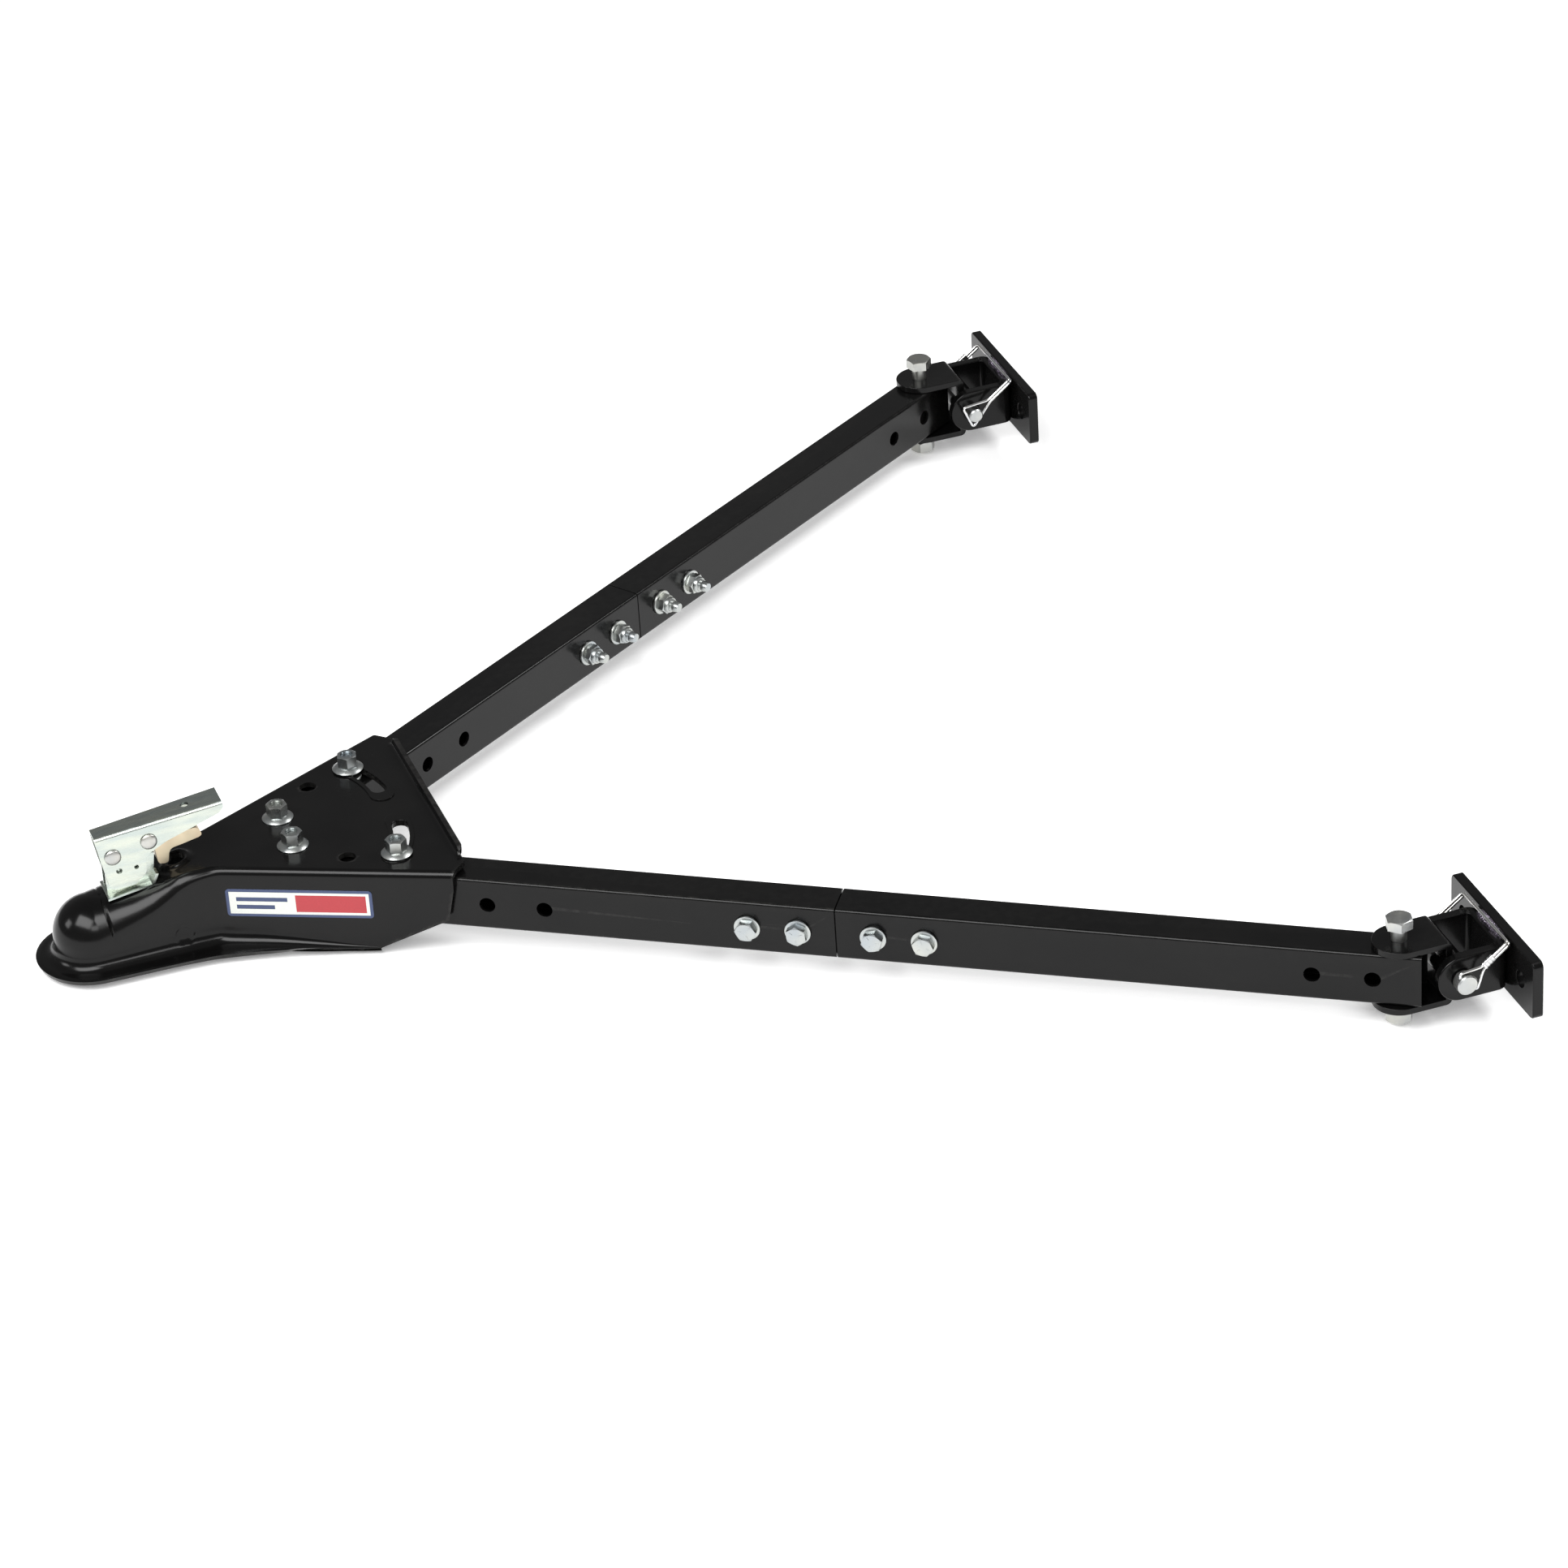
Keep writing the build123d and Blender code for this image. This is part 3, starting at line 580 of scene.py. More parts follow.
def pressed(point):
    """How far the top plate is pressed up at a point, round the hole behind the latch."""
    hole_x, hole_y, radius = REAR_HOLE
    from_hole = math.hypot(point.x - hole_x, point.y - hole_y)
    return 1.9 * dent(from_hole - (radius + 2.3), 2.4)


def profile(x, bearing=None):
    """The outer surface's half section at x, or round the nose at a bearing, from lip to centre line."""
    nose = bearing is not None
    width = DOME if nose else half_width(x)
    top = DOME if nose else smooth(x, TOP_KEYS)
    corner = DOME if nose else smooth(x, CORNER_KEYS)
    lip = LIP_RADIUS if nose else max(width + 0.02, smooth(x, LIP_KEYS))
    level = LIP_TOP if nose else smooth(x, LEVEL_KEYS)
    fillet = min(9.0 if nose else eased(x, FILLET_KEYS), 0.92 * (lip - width))
    points = []
    for step in range(6):
        points.append((lip + (width + fillet - lip) * step / 6, level - 1.2 * (1 - step / 6) ** 2))
    for step in range(9):
        turn = math.pi / 2 * step / 8
        points.append((width + fillet * (1 - math.sin(turn)), level + fillet * (1 - math.cos(turn))))
    wall_start, wall_end = level + fillet, top - corner
    for step in range(1, 25):
        points.append((width, wall_start + (wall_end - wall_start) * step / 25))
    for step in range(25):
        turn = math.pi / 2 * step / 24
        points.append((width - corner + corner * math.cos(turn), wall_end + corner * math.sin(turn)))
    for step in range(1, 61):
        points.append(((width - corner) * (1 - step / 60), top))
    if nose:
        along = Vector((-math.cos(bearing), math.sin(bearing), 0))
        return [along * reach + Vector((0, 0, z)) for reach, z in points]
    column = []
    mark_x, mark_z, mark_radius = ROUND_MARK
    for y, z in points:
        # The groove where the dome meets the neck, then the faint raised ring on the wall.
        slit = dent(x - NECK_SLIT + 0.045 * (z - 30), 0.75) * step_up(z, 2, 14) * (1 - step_up(z, 31, 33))
        on_wall = z < 12 and y < width + 1
        ring = dent(math.hypot(x - mark_x, z - mark_z) - mark_radius, 0.9)
        mark = 0.55 * ring if on_wall else 0.0
        column.append(Vector((x, y - 1.5 * slit + mark, z)))
    return column


def rear_edge(column, share):
    """Carries a column past the plate's end, turned up into the stiffening lip between its corners."""
    flat_run = 6.0 * share
    turn = math.pi / 2 * min(1.0, share / 0.55)
    climb = max(0.0, (share - 0.55) / 0.45)
    bent = []
    for point in column:
        upright = 1 - step_up(abs(point.y), 84, 91)
        flat = Vector((point.x + flat_run, point.y, point.z))
        lift = 4.0 * (1 - math.cos(turn)) + 3.0 * climb
        up = Vector((point.x + 4.0 * math.sin(turn), point.y, point.z + lift))
        bent.append(flat.lerp(up, upright) if point.z > PLATE_TOP - 9 else flat)
    return bent


def prism(outline, low, high, plane="XY"):
    """A cutting block: an outline drawn in a plane and run from low to high across it."""
    mesh = bmesh.new()
    ends = []
    for level in (low, high):
        if plane == "XY":
            ends.append([mesh.verts.new((u, v, level)) for u, v in outline])
        else:
            ends.append([mesh.verts.new((u, level, v)) for u, v in outline])
    mesh.faces.new(ends[0])
    mesh.faces.new(list(reversed(ends[1])))
    for step in range(len(outline)):
        following = (step + 1) % len(outline)
        mesh.faces.new((ends[0][step], ends[1][step], ends[1][following], ends[0][following]))
    bmesh.ops.recalc_face_normals(mesh, faces=mesh.faces)
    data = bpy.data.meshes.new("cutter")
    mesh.to_mesh(data)
    mesh.free()
    data.transform(Matrix.Scale(MM, 4))
    obj = bpy.data.objects.new("cutter", data)
    bpy.context.scene.collection.objects.link(obj)
    return obj


def circle(x, y, radius, segments=48):
    """A round outline."""
    steps = [2 * math.pi * step / segments for step in range(segments)]
    return [(x + radius * math.cos(angle), y + radius * math.sin(angle)) for angle in steps]


def arc_slot(pivot, reach, half, first, last):
    """The outline of an arc slot about a pivot, between two bearings from the centre line."""
    outward = 1 if pivot.y > 0 else -1

    def at(radius, bearing):
        return (
            pivot.x + radius * math.cos(math.radians(bearing)),
            pivot.y + outward * radius * math.sin(math.radians(bearing)),
        )

    outline = [at(reach + half, first + (last - first) * step / 24) for step in range(25)]
    for centre_bearing, start in ((last, 0), (first, 180)):
        centre_x, centre_y = at(reach, centre_bearing)
        for step in range(1, 12):
            turn = math.radians(centre_bearing + start - 15 * step)
            outline.append((centre_x + half * math.cos(turn), centre_y + outward * half * math.sin(turn)))
        if start == 0:
            outline += [at(reach - half, last + (first - last) * step / 24) for step in range(25)]
    return outline


def cut(obj, cutters, operation="DIFFERENCE"):
    """Cuts an object with blocks, applies the result and deletes the blocks."""
    for cutter in cutters:
        change = obj.modifiers.new("cut", "BOOLEAN")
        change.operation = operation
        change.solver = "MANIFOLD"
        change.object = cutter
    bake(obj)
    for cutter in cutters:
        bpy.data.objects.remove(cutter)


def bake(obj):
    """Applies an object's modifiers."""
    depsgraph = bpy.context.evaluated_depsgraph_get()
    done = bpy.data.meshes.new_from_object(obj.evaluated_get(depsgraph))
    obj.modifiers.clear()
    obj.data = done


def coupler_body():
    """The stamped body: one sheet lofted from the lip over the walls, drilled and trimmed."""
    columns = [profile(0, math.pi / 2 * step / 36) for step in range(36)]
    x = 0.0
    while x < PLATE_REAR:
        # Columns stand closest at the groove, and widest over the plain rear.
        columns.append(profile(x))
        x += 0.45 if 6.5 < x < 12.5 else (1.0 if x < 80 else 1.9)
    last = profile(PLATE_REAR)
    columns += [rear_edge(last, step / 12) for step in range(13)]
    mesh = bmesh.new()
    grids = []
    for mirror in (1, -1):
        grid = []
        for column in columns:
            placed = []
            for point in column:
                raised = pressed(point) if point.z > 40 else 0.0
                placed.append(mesh.verts.new((point.x, mirror * point.y, point.z + raised)))
            grid.append(placed)
        grids.append(grid)
    for grid in grids:
        for left, right in zip(grid, grid[1:]):
            for row in range(len(left) - 1):
                mesh.faces.new((left[row], left[row + 1], right[row + 1], right[row]))
    bmesh.ops.remove_doubles(mesh, verts=mesh.verts, dist=0.004)
    bmesh.ops.dissolve_degenerate(mesh, edges=mesh.edges, dist=0.001)
    obj = piece("coupler_shell", mesh, "black_coat", "coupler", ["coupler_body"], smooth=50)
    if obj.data.polygons[len(obj.data.polygons) // 2].normal.z < 0:
        obj.data.flip_normals()
    thick = obj.modifiers.new("sheet", "SOLIDIFY")
    thick.thickness = SHEET * MM
    thick.offset = -1
    thick.use_even_offset = True
    bake(obj)
    plate_under = PLATE_TOP - 4.5
    trim = [(201, -60), (201, -20.5), (249, 5), (WALL_REAR, plate_under), (330, plate_under), (330, -60)]
    cutters = [prism(trim, -150, 150, "XZ")]
    start = WALL_REAR - 2
    corner = [(start, 111.0), (BODY_REAR + 6, 91), (330, 91), (330, 160), (start, 160)]
    hole_x, hole_y, hole_radius = TOP_HOLE
    for outward in (1, -1):
        cutters.append(prism([(u, outward * v) for u, v in corner], *THROUGH_PLATE))
        cutters.append(prism(circle(hole_x, outward * hole_y, hole_radius), *THROUGH_PLATE))
    for pivot in pivots:
        slot = arc_slot(pivot, SLOT_REACH, SLOT_HALF, *SLOT_BEARINGS)
        cutters.append(prism(slot, *THROUGH_PLATE))
        cutters.append(prism(circle(pivot.x, pivot.y, 4.9), *THROUGH_PLATE))
    cutters.append(prism(circle(*REAR_HOLE), 20, 70))
    cutters.append(prism(circle(*STEM_HOLE), 10, 50))
    cut(obj, cutters)
    shade(obj, 38)
    soften(obj, 0.55, 2, 48)
    for index, pivot in enumerate(pivots):
        outline = arc_slot(pivot, SLOT_REACH, 9.5, 36.5, -1.0)
        band = prism(outline, PLATE_TOP - 1.0, PLATE_TOP + 0.8)
        opening = arc_slot(pivot, SLOT_REACH, SLOT_HALF + 0.3, *SLOT_BEARINGS)
        cut(band, [prism(opening, *THROUGH_PLATE)])
        band.name = f"slot_band_{index}"
        finish_piece(band, "black_coat", "coupler")
        soften(band, 0.45, 3, 40)


# ------------------------------------------------------------------ fasteners

def clamp_stack(meshes, centre, washer_low, head_low, spacer, spins, shank):
    """Adds a dished washer, a nut, a bolt with its head below and a spacer, on one upright axis."""
    washers, nuts, bolts, spacers = meshes
    nut_spin, head_spin = spins
    seat = Vector((centre.x, centre.y, washer_low))
    dished_washer(washers, *DISHED_WASHER, frame_at(seat, (0, 0, 1)))
    place = frame_at(seat + Vector((0, 0, NUT_LIFT)), (0, 0, 1), nut_spin)
    hex_block(nuts, BOLT_FLATS, NUT_HEIGHT, place, BOLT_RADIUS, chamfer_base=True)
    lathe(bolts, thread_profile(4.74, -4.0, 7.4), place, 48)
    head = Vector((centre.x, centre.y, head_low + BOLT_HEAD))
    hex_block(bolts, BOLT_FLATS, BOLT_HEAD, frame_at(head, (0, 0, -1), head_spin))
    radius, length = shank
    lathe(bolts, [(0, 0), (radius, 0), (radius, length), (0, length)], frame_at(head, (0, 0, 1)))
    low, high = levels(spacer)
    place = frame_at(Vector((centre.x, centre.y, low)), (0, 0, 1))
    flat_washer(spacers, *FLAT_WASHER, high - low, place)


def stack_pieces(meshes, body, names, nodes):
    """Makes the four pieces of a clamp stack, each in place of its CAD node."""
    for mesh, name, node, smooth in zip(meshes, names, nodes, (40, 30, 30, 35)):
        piece(name, mesh, "zinc", body, [node], smooth)


def pivot_hardware():
    """The fasteners at the two arm pivots."""
    meshes = [bmesh.new() for _ in range(4)]
    head_low = levels("pivot_bolts")[0]
    for pivot, spin in zip(pivots, (0.3, 0.12)):
        clamp_stack(meshes, pivot, PLATE_TOP + 0.02, head_low, "pivot_spacers", (spin, spin), (4.75, 47))
    names = ("pivot_dished_washers", "pivot_top_nuts", "pivot_long_bolts", "pivot_spacing_washers")
    stack_pieces(meshes, "coupler", names, ("pivot_washers", "pivot_nuts", "pivot_bolts", "pivot_spacers"))


def slot_hardware(label, side):
    """The same fasteners where each arm rides in its arc slot."""
    meshes = [bmesh.new() for _ in range(4)]
    nodes = [f"{label}_slot_{kind}" for kind in ("washer", "nut", "bolt", "spacer")]
    washer, _, bolt, spacer = nodes
    washer_low, head_low = levels(washer)[0], levels(bolt)[0]
    spins = (0.5 + 0.3 * side, 0.0)
    clamp_stack(meshes, middle(bolt), washer_low, head_low, spacer, spins, (4.7, 48))
    names = [f"{label}_slot_{kind}" for kind in ("dished_washer", "top_nut", "long_bolt", "spacing_washer")]
    stack_pieces(meshes, f"{label}_arm", names, nodes)


def splice_hardware(label, side):
    """Four bolts across each arm's joint: heads outside, locking nuts and threads inside."""
    swing = joint_place(f"{label}_arm_swing")
    swivel = joint_place(f"{label}_yoke_swivel")
    along = (swivel - swing).normalized()
    outward = Vector((along.y, -along.x, 0)) * -side
    seam = (middle(f"{label}_splice_sleeve") - swing).dot(along)
    bolts, washers, nuts = (bmesh.new() for _ in range(3))
    for index, offset in enumerate(SPLICE_OFFSETS):
        centre = swing + along * (seam + offset)
        spin = 0.5 + 1.7 * index
        places = []
        for way in (outward, -outward):
            seat = centre + way * TUBE_HALF_WIDTH
            flat_washer(washers, *FLAT_WASHER, WASHER_THICKNESS, frame_at(seat, way))
            places.append(frame_at(seat + way * WASHER_THICKNESS, way, spin))
        head, nut = places
        hex_block(bolts, BOLT_FLATS, BOLT_HEAD, head)
        grade_marks(bolts, BOLT_FLATS, BOLT_HEAD, head, 3)
        locking_nut(nuts, BOLT_FLATS, NUT_HEIGHT, BOLT_RADIUS, nut)
        lathe(bolts, thread_profile(4.74, -36.0, 17.4, 1.1, 4.2), nut, 48)
    body = f"{label}_arm"
    piece(f"{label}_splice_hex_bolts", bolts, "zinc", body, [f"{label}_splice_bolts"], 30)
    piece(f"{label}_splice_flat_washers", washers, "zinc", body, [f"{label}_splice_washers"], 35)
    piece(f"{label}_splice_locking_nuts", nuts, "zinc", body, [f"{label}_splice_nuts"], 30)


def yoke_hardware(label, side):
    """The long upright bolt and its nut, standing loose in the yoke."""
    centre = middle(f"{label}_yoke_bolt")
    low, high = levels(f"{label}_yoke_bolt")
    bolts, nuts = bmesh.new(), bmesh.new()
    head = frame_at((centre.x, centre.y, high - 8.0), (0, 0, 1), 0.26 * side)
    hex_block(bolts, YOKE_FLATS, YOKE_HEAD, head)
    grade_marks(bolts, YOKE_FLATS, 7.8, head, 1)
    shank = frame_at((centre.x, centre.y, high - 7.5), (0, 0, -1))
    plain = 56.0
    outline = [(0.0, 0.0), (YOKE_SHANK, 0.0), (YOKE_SHANK, plain)]
    outline += thread_profile(5.98, plain, high - 7.5 - low)[2:]
    lathe(bolts, outline, shank)
    seat = frame_at((centre.x, centre.y, levels(f"{label}_yoke_nut")[0]), (0, 0, 1), 0.5)
    hex_block(nuts, YOKE_FLATS, YOKE_NUT, seat, YOKE_SHANK, chamfer_base=True)
    body = f"{label}_arm"
    piece(f"{label}_yoke_hex_bolt", bolts, "grey_steel", body, [f"{label}_yoke_bolt"], 30)
    piece(f"{label}_yoke_hex_nut", nuts, "grey_steel", body, [f"{label}_yoke_nut"], 30)


# ------------------------------------------------------------------ rear joints

BEAD_RADIUS = 4.6
BEAD_HALF_LENGTH = 20
WIRE_RADIUS = 1.2
WIRE_BEND = 3.2
SLEEVE_LENGTH = 10


def weld_bead(label):
    """Rippled beads along the clevis web, top and bottom, where it meets the bumper plate."""
    low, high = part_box(f"{label}_clevis_weld")
    centre = middle(f"{label}_clevis_weld")
    mesh = bmesh.new()
    for upward, z in ((1, high[2] / MM - 4.0), (-1, low[2] / MM + 4.0)):
        rings = []
        count = 110
        for step in range(count + 1):
            y = centre.y - BEAD_HALF_LENGTH + 2 * BEAD_HALF_LENGTH * step / count
            ripple = 0.45 * math.sin(2 * math.pi * step / 6.5) + 0.25 * math.sin(step * 0.9)
            end = math.sin(math.pi * step / count) ** 0.25 if 0 < step < count else 0.2
            radius = (BEAD_RADIUS + ripple) * end
            ring = []
            for corner in range(15):
                turn = math.pi / 2 * (corner - 1) / 12
                reach = radius if 0 < corner < 14 else 0.0
                swirl = 0.22 * math.sin(3 * turn + step * 0.9)
                reach += swirl * (reach > 0)
                across, up = reach * math.cos(turn), upward * reach * math.sin(turn)
                ring.append(mesh.verts.new((high[0] / MM - across, y, z + up)))
            rings.append(ring)
        for first, second in zip(rings, rings[1:]):
            for corner in range(14):
                mesh.faces.new((first[corner], first[corner + 1], second[corner + 1], second[corner]))
    bmesh.ops.remove_doubles(mesh, verts=mesh.verts, dist=0.001)
    piece(f"{label}_weld_beads", mesh, "weld", f"{label}_bracket", [f"{label}_clevis_weld"], 60)


def rear_joint(label, side):
    """The yoke, clevis, plate, pin and bail, from the CAD shapes with softened edges."""
    for node in ("yoke_upper_strap", "yoke_lower_strap", "yoke_barrel"):
        refined(f"{label}_{node}", "black_coat", f"{label}_yoke", 0.7)
    refined(f"{label}_clevis", "black_coat", f"{label}_bracket", 1.0, 3)
    refined(f"{label}_bumper_plate", "black_coat", f"{label}_bracket", 0.8, 3)
    weld_bead(label)
    refined(f"{label}_hitch_pin", "grey_steel", f"{label}_pin", 0.25)
    bail(label, side)


def bail(label, side):
    """The doubled spring-wire bail with rounded bends, and its crimped, segmented sleeve."""
    pin = joint_place(f"{label}_pin_turn")
    lean, rise = 0.6 * 1.3, 0.8 * 1.3
    outer = side * 36.6
    route = [
        (-4.6, outer, 4.6),
        (-5.2, outer, 9.6),
        (13 - lean, outer, 10.3 + rise),
        (33 - lean, outer, 25.3 + rise),
        (33 - lean, -outer, 25.3 + rise),
        (13 - lean, -outer, 10.3 + rise),
        (-11, -outer, 8.7),
        (-2.2, -outer, -11.3),
        (13 + lean, -outer, 10.3 - rise),
        (33 + lean, -outer, 25.3 - rise),
        (33 + lean, outer, 25.3 - rise),
        (13 + lean, outer, 10.3 - rise),
        (8.4, outer, -6.5),
        (4.6, outer, -4.6),
    ]
    corners = [Vector(point) for point in route]
    path = [corners[0]]
    for before, here, after in zip(corners, corners[1:], corners[2:]):
        run = min(WIRE_BEND, (here - before).length * 0.45, (after - here).length * 0.45)
        start = here + (before - here).normalized() * run
        end = here + (after - here).normalized() * run
        for step in range(9):
            share = step / 8
            path.append(start.lerp(here, share).lerp(here.lerp(end, share), share))
    path.append(corners[-1])
    mesh = bmesh.new()
    rings = []
    upright = Vector((0, 1, 0)).cross(path[1] - path[0])
    for index, point in enumerate(path):
        ahead = (path[min(index + 1, len(path) - 1)] - path[max(index - 1, 0)]).normalized()
        upright = (upright - ahead * upright.dot(ahead)).normalized()
        across = ahead.cross(upright)
        ring = []
        for step in range(16):
            turn = math.pi * step / 8
            way = upright * math.cos(turn) + across * math.sin(turn)
            ring.append(mesh.verts.new(pin + point + way * WIRE_RADIUS))
        rings.append(ring)
    caps = [[mesh.verts.new(pin + path[0])], [mesh.verts.new(pin + path[-1])]]
    join_rings(mesh, [caps[0]] + rings + [caps[1]])
    piece(f"{label}_bail_wire", mesh, "wire", f"{label}_pin", [f"{label}_pin_bail"], 60)
    sleeve = bmesh.new()
    along = Vector((0.8, 0, 0.6))
    rise_way = Vector((-0.6, 0, 0.8))
    side_way = Vector((0, 1, 0))
    origin = pin + Vector((13.6, outer, 11.2))
    rings = []
    for step in range(61):
        reach = SLEEVE_LENGTH * step / 60
        swell = 0.22 * (1 if (reach % 2.6) < 1.7 else -1) - (0.5 if step in (0, 60) else 0.0)
        ring = []
        for corner in range(28):
            turn = 2 * math.pi * corner / 28
            flat = abs(math.cos(turn)) ** 0.55 * math.copysign(1, math.cos(turn))
            bulge = abs(math.sin(turn)) ** 0.55 * math.copysign(1, math.sin(turn))
            place = origin + along * reach + rise_way * flat * (3.0 + swell)
            ring.append(sleeve.verts.new(place + side_way * bulge * (1.6 + swell)))
        rings.append(ring)
    ends = [[sleeve.verts.new(origin)], [sleeve.verts.new(origin + along * SLEEVE_LENGTH)]]
    join_rings(sleeve, [ends[0]] + rings + [ends[1]])
    piece(f"{label}_crimped_sleeve", sleeve, "wire", f"{label}_pin", [f"{label}_bail_sleeve"], 50)


# ------------------------------------------------------------------ latch

# Side outlines: (x, z, corner radius) in millimetres.
LEVER_OUTLINE = [
    (9.5, 90, 0), (9.5, 81, 1), (17, 36, 6), (36, 37.5, 6), (45.5, 46, 6),
    (46.5, 60, 8), (63, 69, 12), (105, 83.5, 3), (109, 88, 3), (107.2, 100, 0),
]
TRIGGER_OUTLINE = [
    (45, 77, 3), (56, 76, 4), (66, 69.5, 9), (88, 72.5, 4.5), (92.5, 64, 4), (75, 60.5, 10),
    (65.5, 59, 6), (63.5, 47, 3.4), (56, 48, 3.4), (54.5, 62, 4), (45, 66, 3),
]
LEVER_SHEET = 2.2
RIVET_RADIUS = 6.4
RIVET_HOLE = 3.05
THROUGH_SIDES = (-20, 20)


def lever_half(x):
    """Half the lever's width at x, from the front to the grip."""
    return 9.2 + (x - 9.5) / 97.5 * 3.3


def latch_lever():
    """The bent channel lever: a sheet over a rounded top, cut to its side outline and drilled."""
    mesh = bmesh.new()
    columns = []
    bend = 3.2
    for step in range(61):
        x = 4 + 108 * step / 60
        half = lever_half(x)
        top = 82.9 + (x - 9.5) * 10 / 99.5
        section = [(-half, 20.0)]
        for turn_step in range(9):
            turn = math.pi / 2 * turn_step / 8
            section.append((-half + bend * (1 - math.cos(turn)), top - bend * (1 - math.sin(turn))))
        section += [(-y, z) for y, z in reversed(section)]
        columns.append([mesh.verts.new((x, y, z)) for y, z in section])
    for left, right in zip(columns, columns[1:]):
        for row in range(len(left) - 1):
            mesh.faces.new((left[row], left[row + 1], right[row + 1], right[row]))
    obj = piece("latch_lever_channel", mesh, "latch_zinc", "lever", ["latch_lever"], 40)
    if obj.data.polygons[9].normal.z < 0:
        obj.data.flip_normals()
    thick = obj.modifiers.new("sheet", "SOLIDIFY")
    thick.thickness = LEVER_SHEET * MM
    thick.offset = -1
    thick.use_even_offset = True
    bake(obj)
    keep = prism(rounded(LEVER_OUTLINE), *THROUGH_SIDES, "XZ")
    cut(obj, [keep], "INTERSECT")
    hinge_x, _, hinge_z = ((low + high) / 2 / MM for low, high in zip(*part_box("lever_rivet")))
    side_holes = [(hinge_x, hinge_z, RIVET_HOLE, 48), (25.1, 52, 2.4, 32), (38.3, 52.4, 1.8, 32)]
    holes = [prism(circle(*hole), *THROUGH_SIDES, "XZ") for hole in side_holes]
    holes.append(prism(circle(82, 0, 3.2, 32), 80, 100))
    cut(obj, holes)
    shade(obj, 30)
    soften(obj, 0.3, 2, 40)


def rounded(corners):
    """An outline from (u, v, radius) corners, with each corner rounded by an arc."""
    outline = []
    for index, (u, v, radius) in enumerate(corners):
        here = Vector((u, v))
        if radius == 0:
            outline.append((u, v))
            continue
        before = Vector(corners[index - 1][:2]) - here
        after = Vector(corners[(index + 1) % len(corners)][:2]) - here
        half_angle = before.angle(after) / 2
        run = min(radius / math.tan(half_angle), before.length * 0.48, after.length * 0.48)
        start, end = here + before.normalized() * run, here + after.normalized() * run
        for step in range(9):
            share = step / 8
            point = start.lerp(here, share).lerp(here.lerp(end, share), share)
            outline.append((point.x, point.y))
    return outline


def rivet_heads():
    """Domed rivets through the lever: one on the bracket, one holding the trigger."""
    for node, body in (("lever_rivet", "coupler"), ("trigger_rivet", "lever")):
        low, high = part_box(node)
        centre = middle(node)
        reach = (high[1] - low[1]) / 2 / MM
        inside = reach - 2.6
        outline = [(0.0, -reach)]
        turns = [math.pi / 2 * step / 10 for step in range(1, 11)]
        dome = [(RIVET_RADIUS * math.sin(turn), 2.2 * math.cos(turn)) for turn in turns]
        outline += [(r, -(inside + 0.4 + z)) for r, z in dome]
        outline += [(RIVET_RADIUS, -inside), (3.0, -inside), (3.0, inside), (RIVET_RADIUS, inside)]
        outline += [(r, inside + 0.4 + z) for r, z in reversed(dome)]
        outline.append((0.0, reach))
        mesh = bmesh.new()
        lathe(mesh, outline, frame_at(centre, (0, 1, 0)), 48)
        piece(f"{node}_domed", mesh, "rivet_steel", body, [node], 35)


def latch():
    """The latch bracket, lever, rivets and trigger."""
    latch_lever()
    rivet_heads()
    refined("latch_bracket", "latch_zinc", "coupler", 0.5)
    body = prism(rounded(TRIGGER_OUTLINE), -6.2, 6.2, "XZ")
    pin = middle("trigger_rivet")
    cut(body, [prism(circle(pin.x, pin.z, RIVET_HOLE), *THROUGH_SIDES, "XZ")])
    body.name = "latch_trigger_cast"
    finish_piece(body, "trigger_zinc", "trigger", ["latch_trigger"])
    soften(body, 1.2, 4, 40)


# ------------------------------------------------------------------ label and small parts

def side_label():
    """The printed label on the near wall, with its border and blocks in the material."""
    low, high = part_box("side_label")
    centre = (Vector(low) + Vector(high)) / 2
    along = Vector((2, -1, 0)).normalized()
    half_length = 0.056
    half_height = (high[2] - low[2]) / 2
    MATERIALS["label"] = sticker(centre, along, half_length, half_height)
    refined("side_label", "label", "coupler", 0.12, 2)


def ball_clamp():
    """The jaw under the ball with its stem, nut and spring."""
    refined("ball_clamp", "cast_clamp", "ball_jaw", 0.6)
    refined("clamp_stem", "zinc", "ball_jaw", 0.4)
    refined("clamp_nut", "zinc", "ball_jaw", 0.4)
    frame["nodes"]["clamp_spring"].data.materials.clear()
    frame["nodes"]["clamp_spring"].data.materials.append(MATERIALS["spring_steel"])


coupler_body()
pivot_hardware()
for label, side in SIDES.items():
    for node in ("front_tube", "rear_tube", "splice_sleeve"):
        refined(f"{label}_{node}", "black_coat", f"{label}_arm", 0.35)
    slot_hardware(label, side)
    splice_hardware(label, side)
    yoke_hardware(label, side)
    rear_joint(label, side)
latch()
side_label()
ball_clamp()


# ------------------------------------------------------------------ floor, light and camera

# Name, place and size in metres, power in watts.
LIGHTS = [
    ("overhead_left", (-1.15, -1.3, 2.6), (2.6, 1.6), 128),
    ("overhead_right", (2.7, -0.35, 2.3), (1.3, 1.0), 56),
    ("front", (0.1, -2.9, 2.2), (1.3, 0.8), 24),
    ("nose", (-2.8, 0.5, 1.5), (0.9, 0.9), 18),
]
SKY_STRENGTH = 0.24
FLOOR_HALF_WIDTH = 30


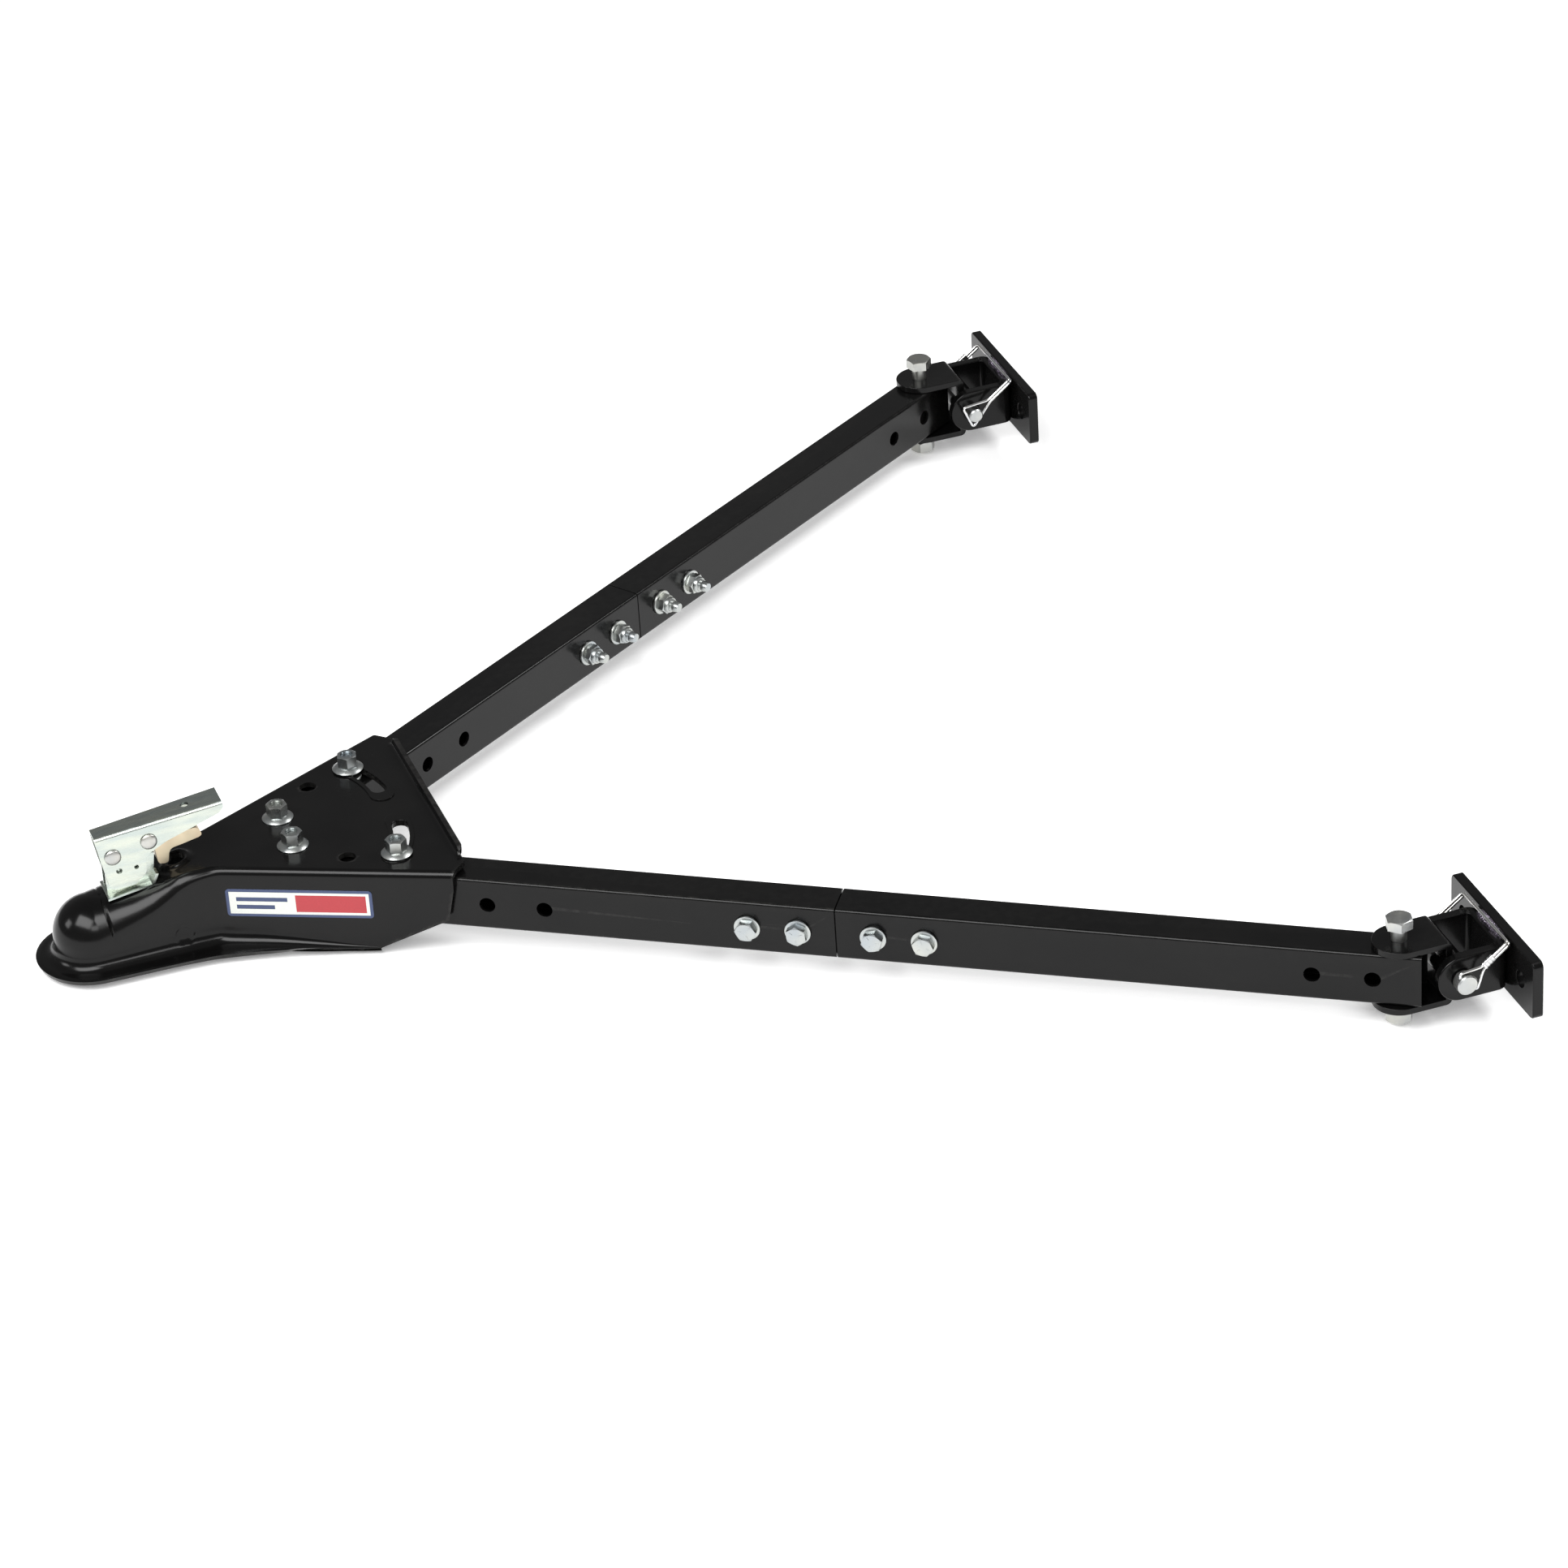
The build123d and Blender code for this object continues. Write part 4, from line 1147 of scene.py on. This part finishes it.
def floor():
    """A wide pale floor under the lowest point."""
    mesh = bmesh.new()
    level = cad_box[0][2] - 0.0005
    half = FLOOR_HALF_WIDTH
    corners = ((-half, -half), (half, -half), (half, half), (-half, half))
    mesh.faces.new([mesh.verts.new((x, y, level)) for x, y in corners])
    data = bpy.data.meshes.new("floor")
    mesh.to_mesh(data)
    mesh.free()
    obj = bpy.data.objects.new("floor", data)
    bpy.context.scene.collection.objects.link(obj)
    n = Nodes("floor")
    n.set(Base_Color=(0.93, 0.93, 0.93, 1), Roughness=0.9, Specular_IOR_Level=0.1)
    n.set(Emission_Color=(1, 1, 1, 1), Emission_Strength=0.25)
    data.materials.append(n.material)


def area_light(name, place, aim, size, power):
    """A soft white light at a place, pointed at an aim."""
    data = bpy.data.lights.new(name, "AREA")
    data.shape = "RECTANGLE"
    data.size, data.size_y = size
    data.energy = power
    obj = bpy.data.objects.new(name, data)
    obj.location = place
    obj.rotation_euler = (Vector(aim) - Vector(place)).to_track_quat("-Z", "Y").to_euler()
    bpy.context.scene.collection.objects.link(obj)


def studio():
    """A dim even sky, two lights overhead, and two small ones in front for the highlights."""
    world = bpy.data.worlds.new("studio")
    world.use_nodes = True
    world.node_tree.nodes["Background"].inputs["Color"].default_value = (1, 1, 1, 1)
    world.node_tree.nodes["Background"].inputs["Strength"].default_value = SKY_STRENGTH
    bpy.context.scene.world = world
    for name, place, size, power in LIGHTS:
        area_light(name, place, (0.45, 0, 0), size, power)


def camera():
    """A long lens above and in front of the left arm, turned a little clockwise."""
    azimuth, elevation, roll = math.radians(17.936), math.radians(31.5465), math.radians(-3.7717)
    aim = Vector((0.547485, -0.050895, 0.018))
    distance = 4.32153
    flat = math.cos(elevation)
    forward = Vector((math.sin(azimuth) * flat, math.cos(azimuth) * flat, -math.sin(elevation)))
    right = Vector((math.cos(azimuth), -math.sin(azimuth), 0))
    up = right.cross(forward)
    tilted_right = right * math.cos(roll) + up * math.sin(roll)
    tilted_up = up * math.cos(roll) - right * math.sin(roll)
    data = bpy.data.cameras.new("camera")
    data.sensor_width = 36
    data.lens = 129.04
    data.shift_x = -0.00822
    data.shift_y = -0.00263
    data.clip_end = 100
    obj = bpy.data.objects.new("camera", data)
    axes = Matrix((tilted_right, tilted_up, -forward)).transposed().to_4x4()
    obj.matrix_world = Matrix.Translation(aim - forward * distance) @ axes
    bpy.context.scene.collection.objects.link(obj)
    bpy.context.scene.camera = obj


floor()
studio()
camera()
bpy.context.scene.view_settings.view_transform = "Standard"
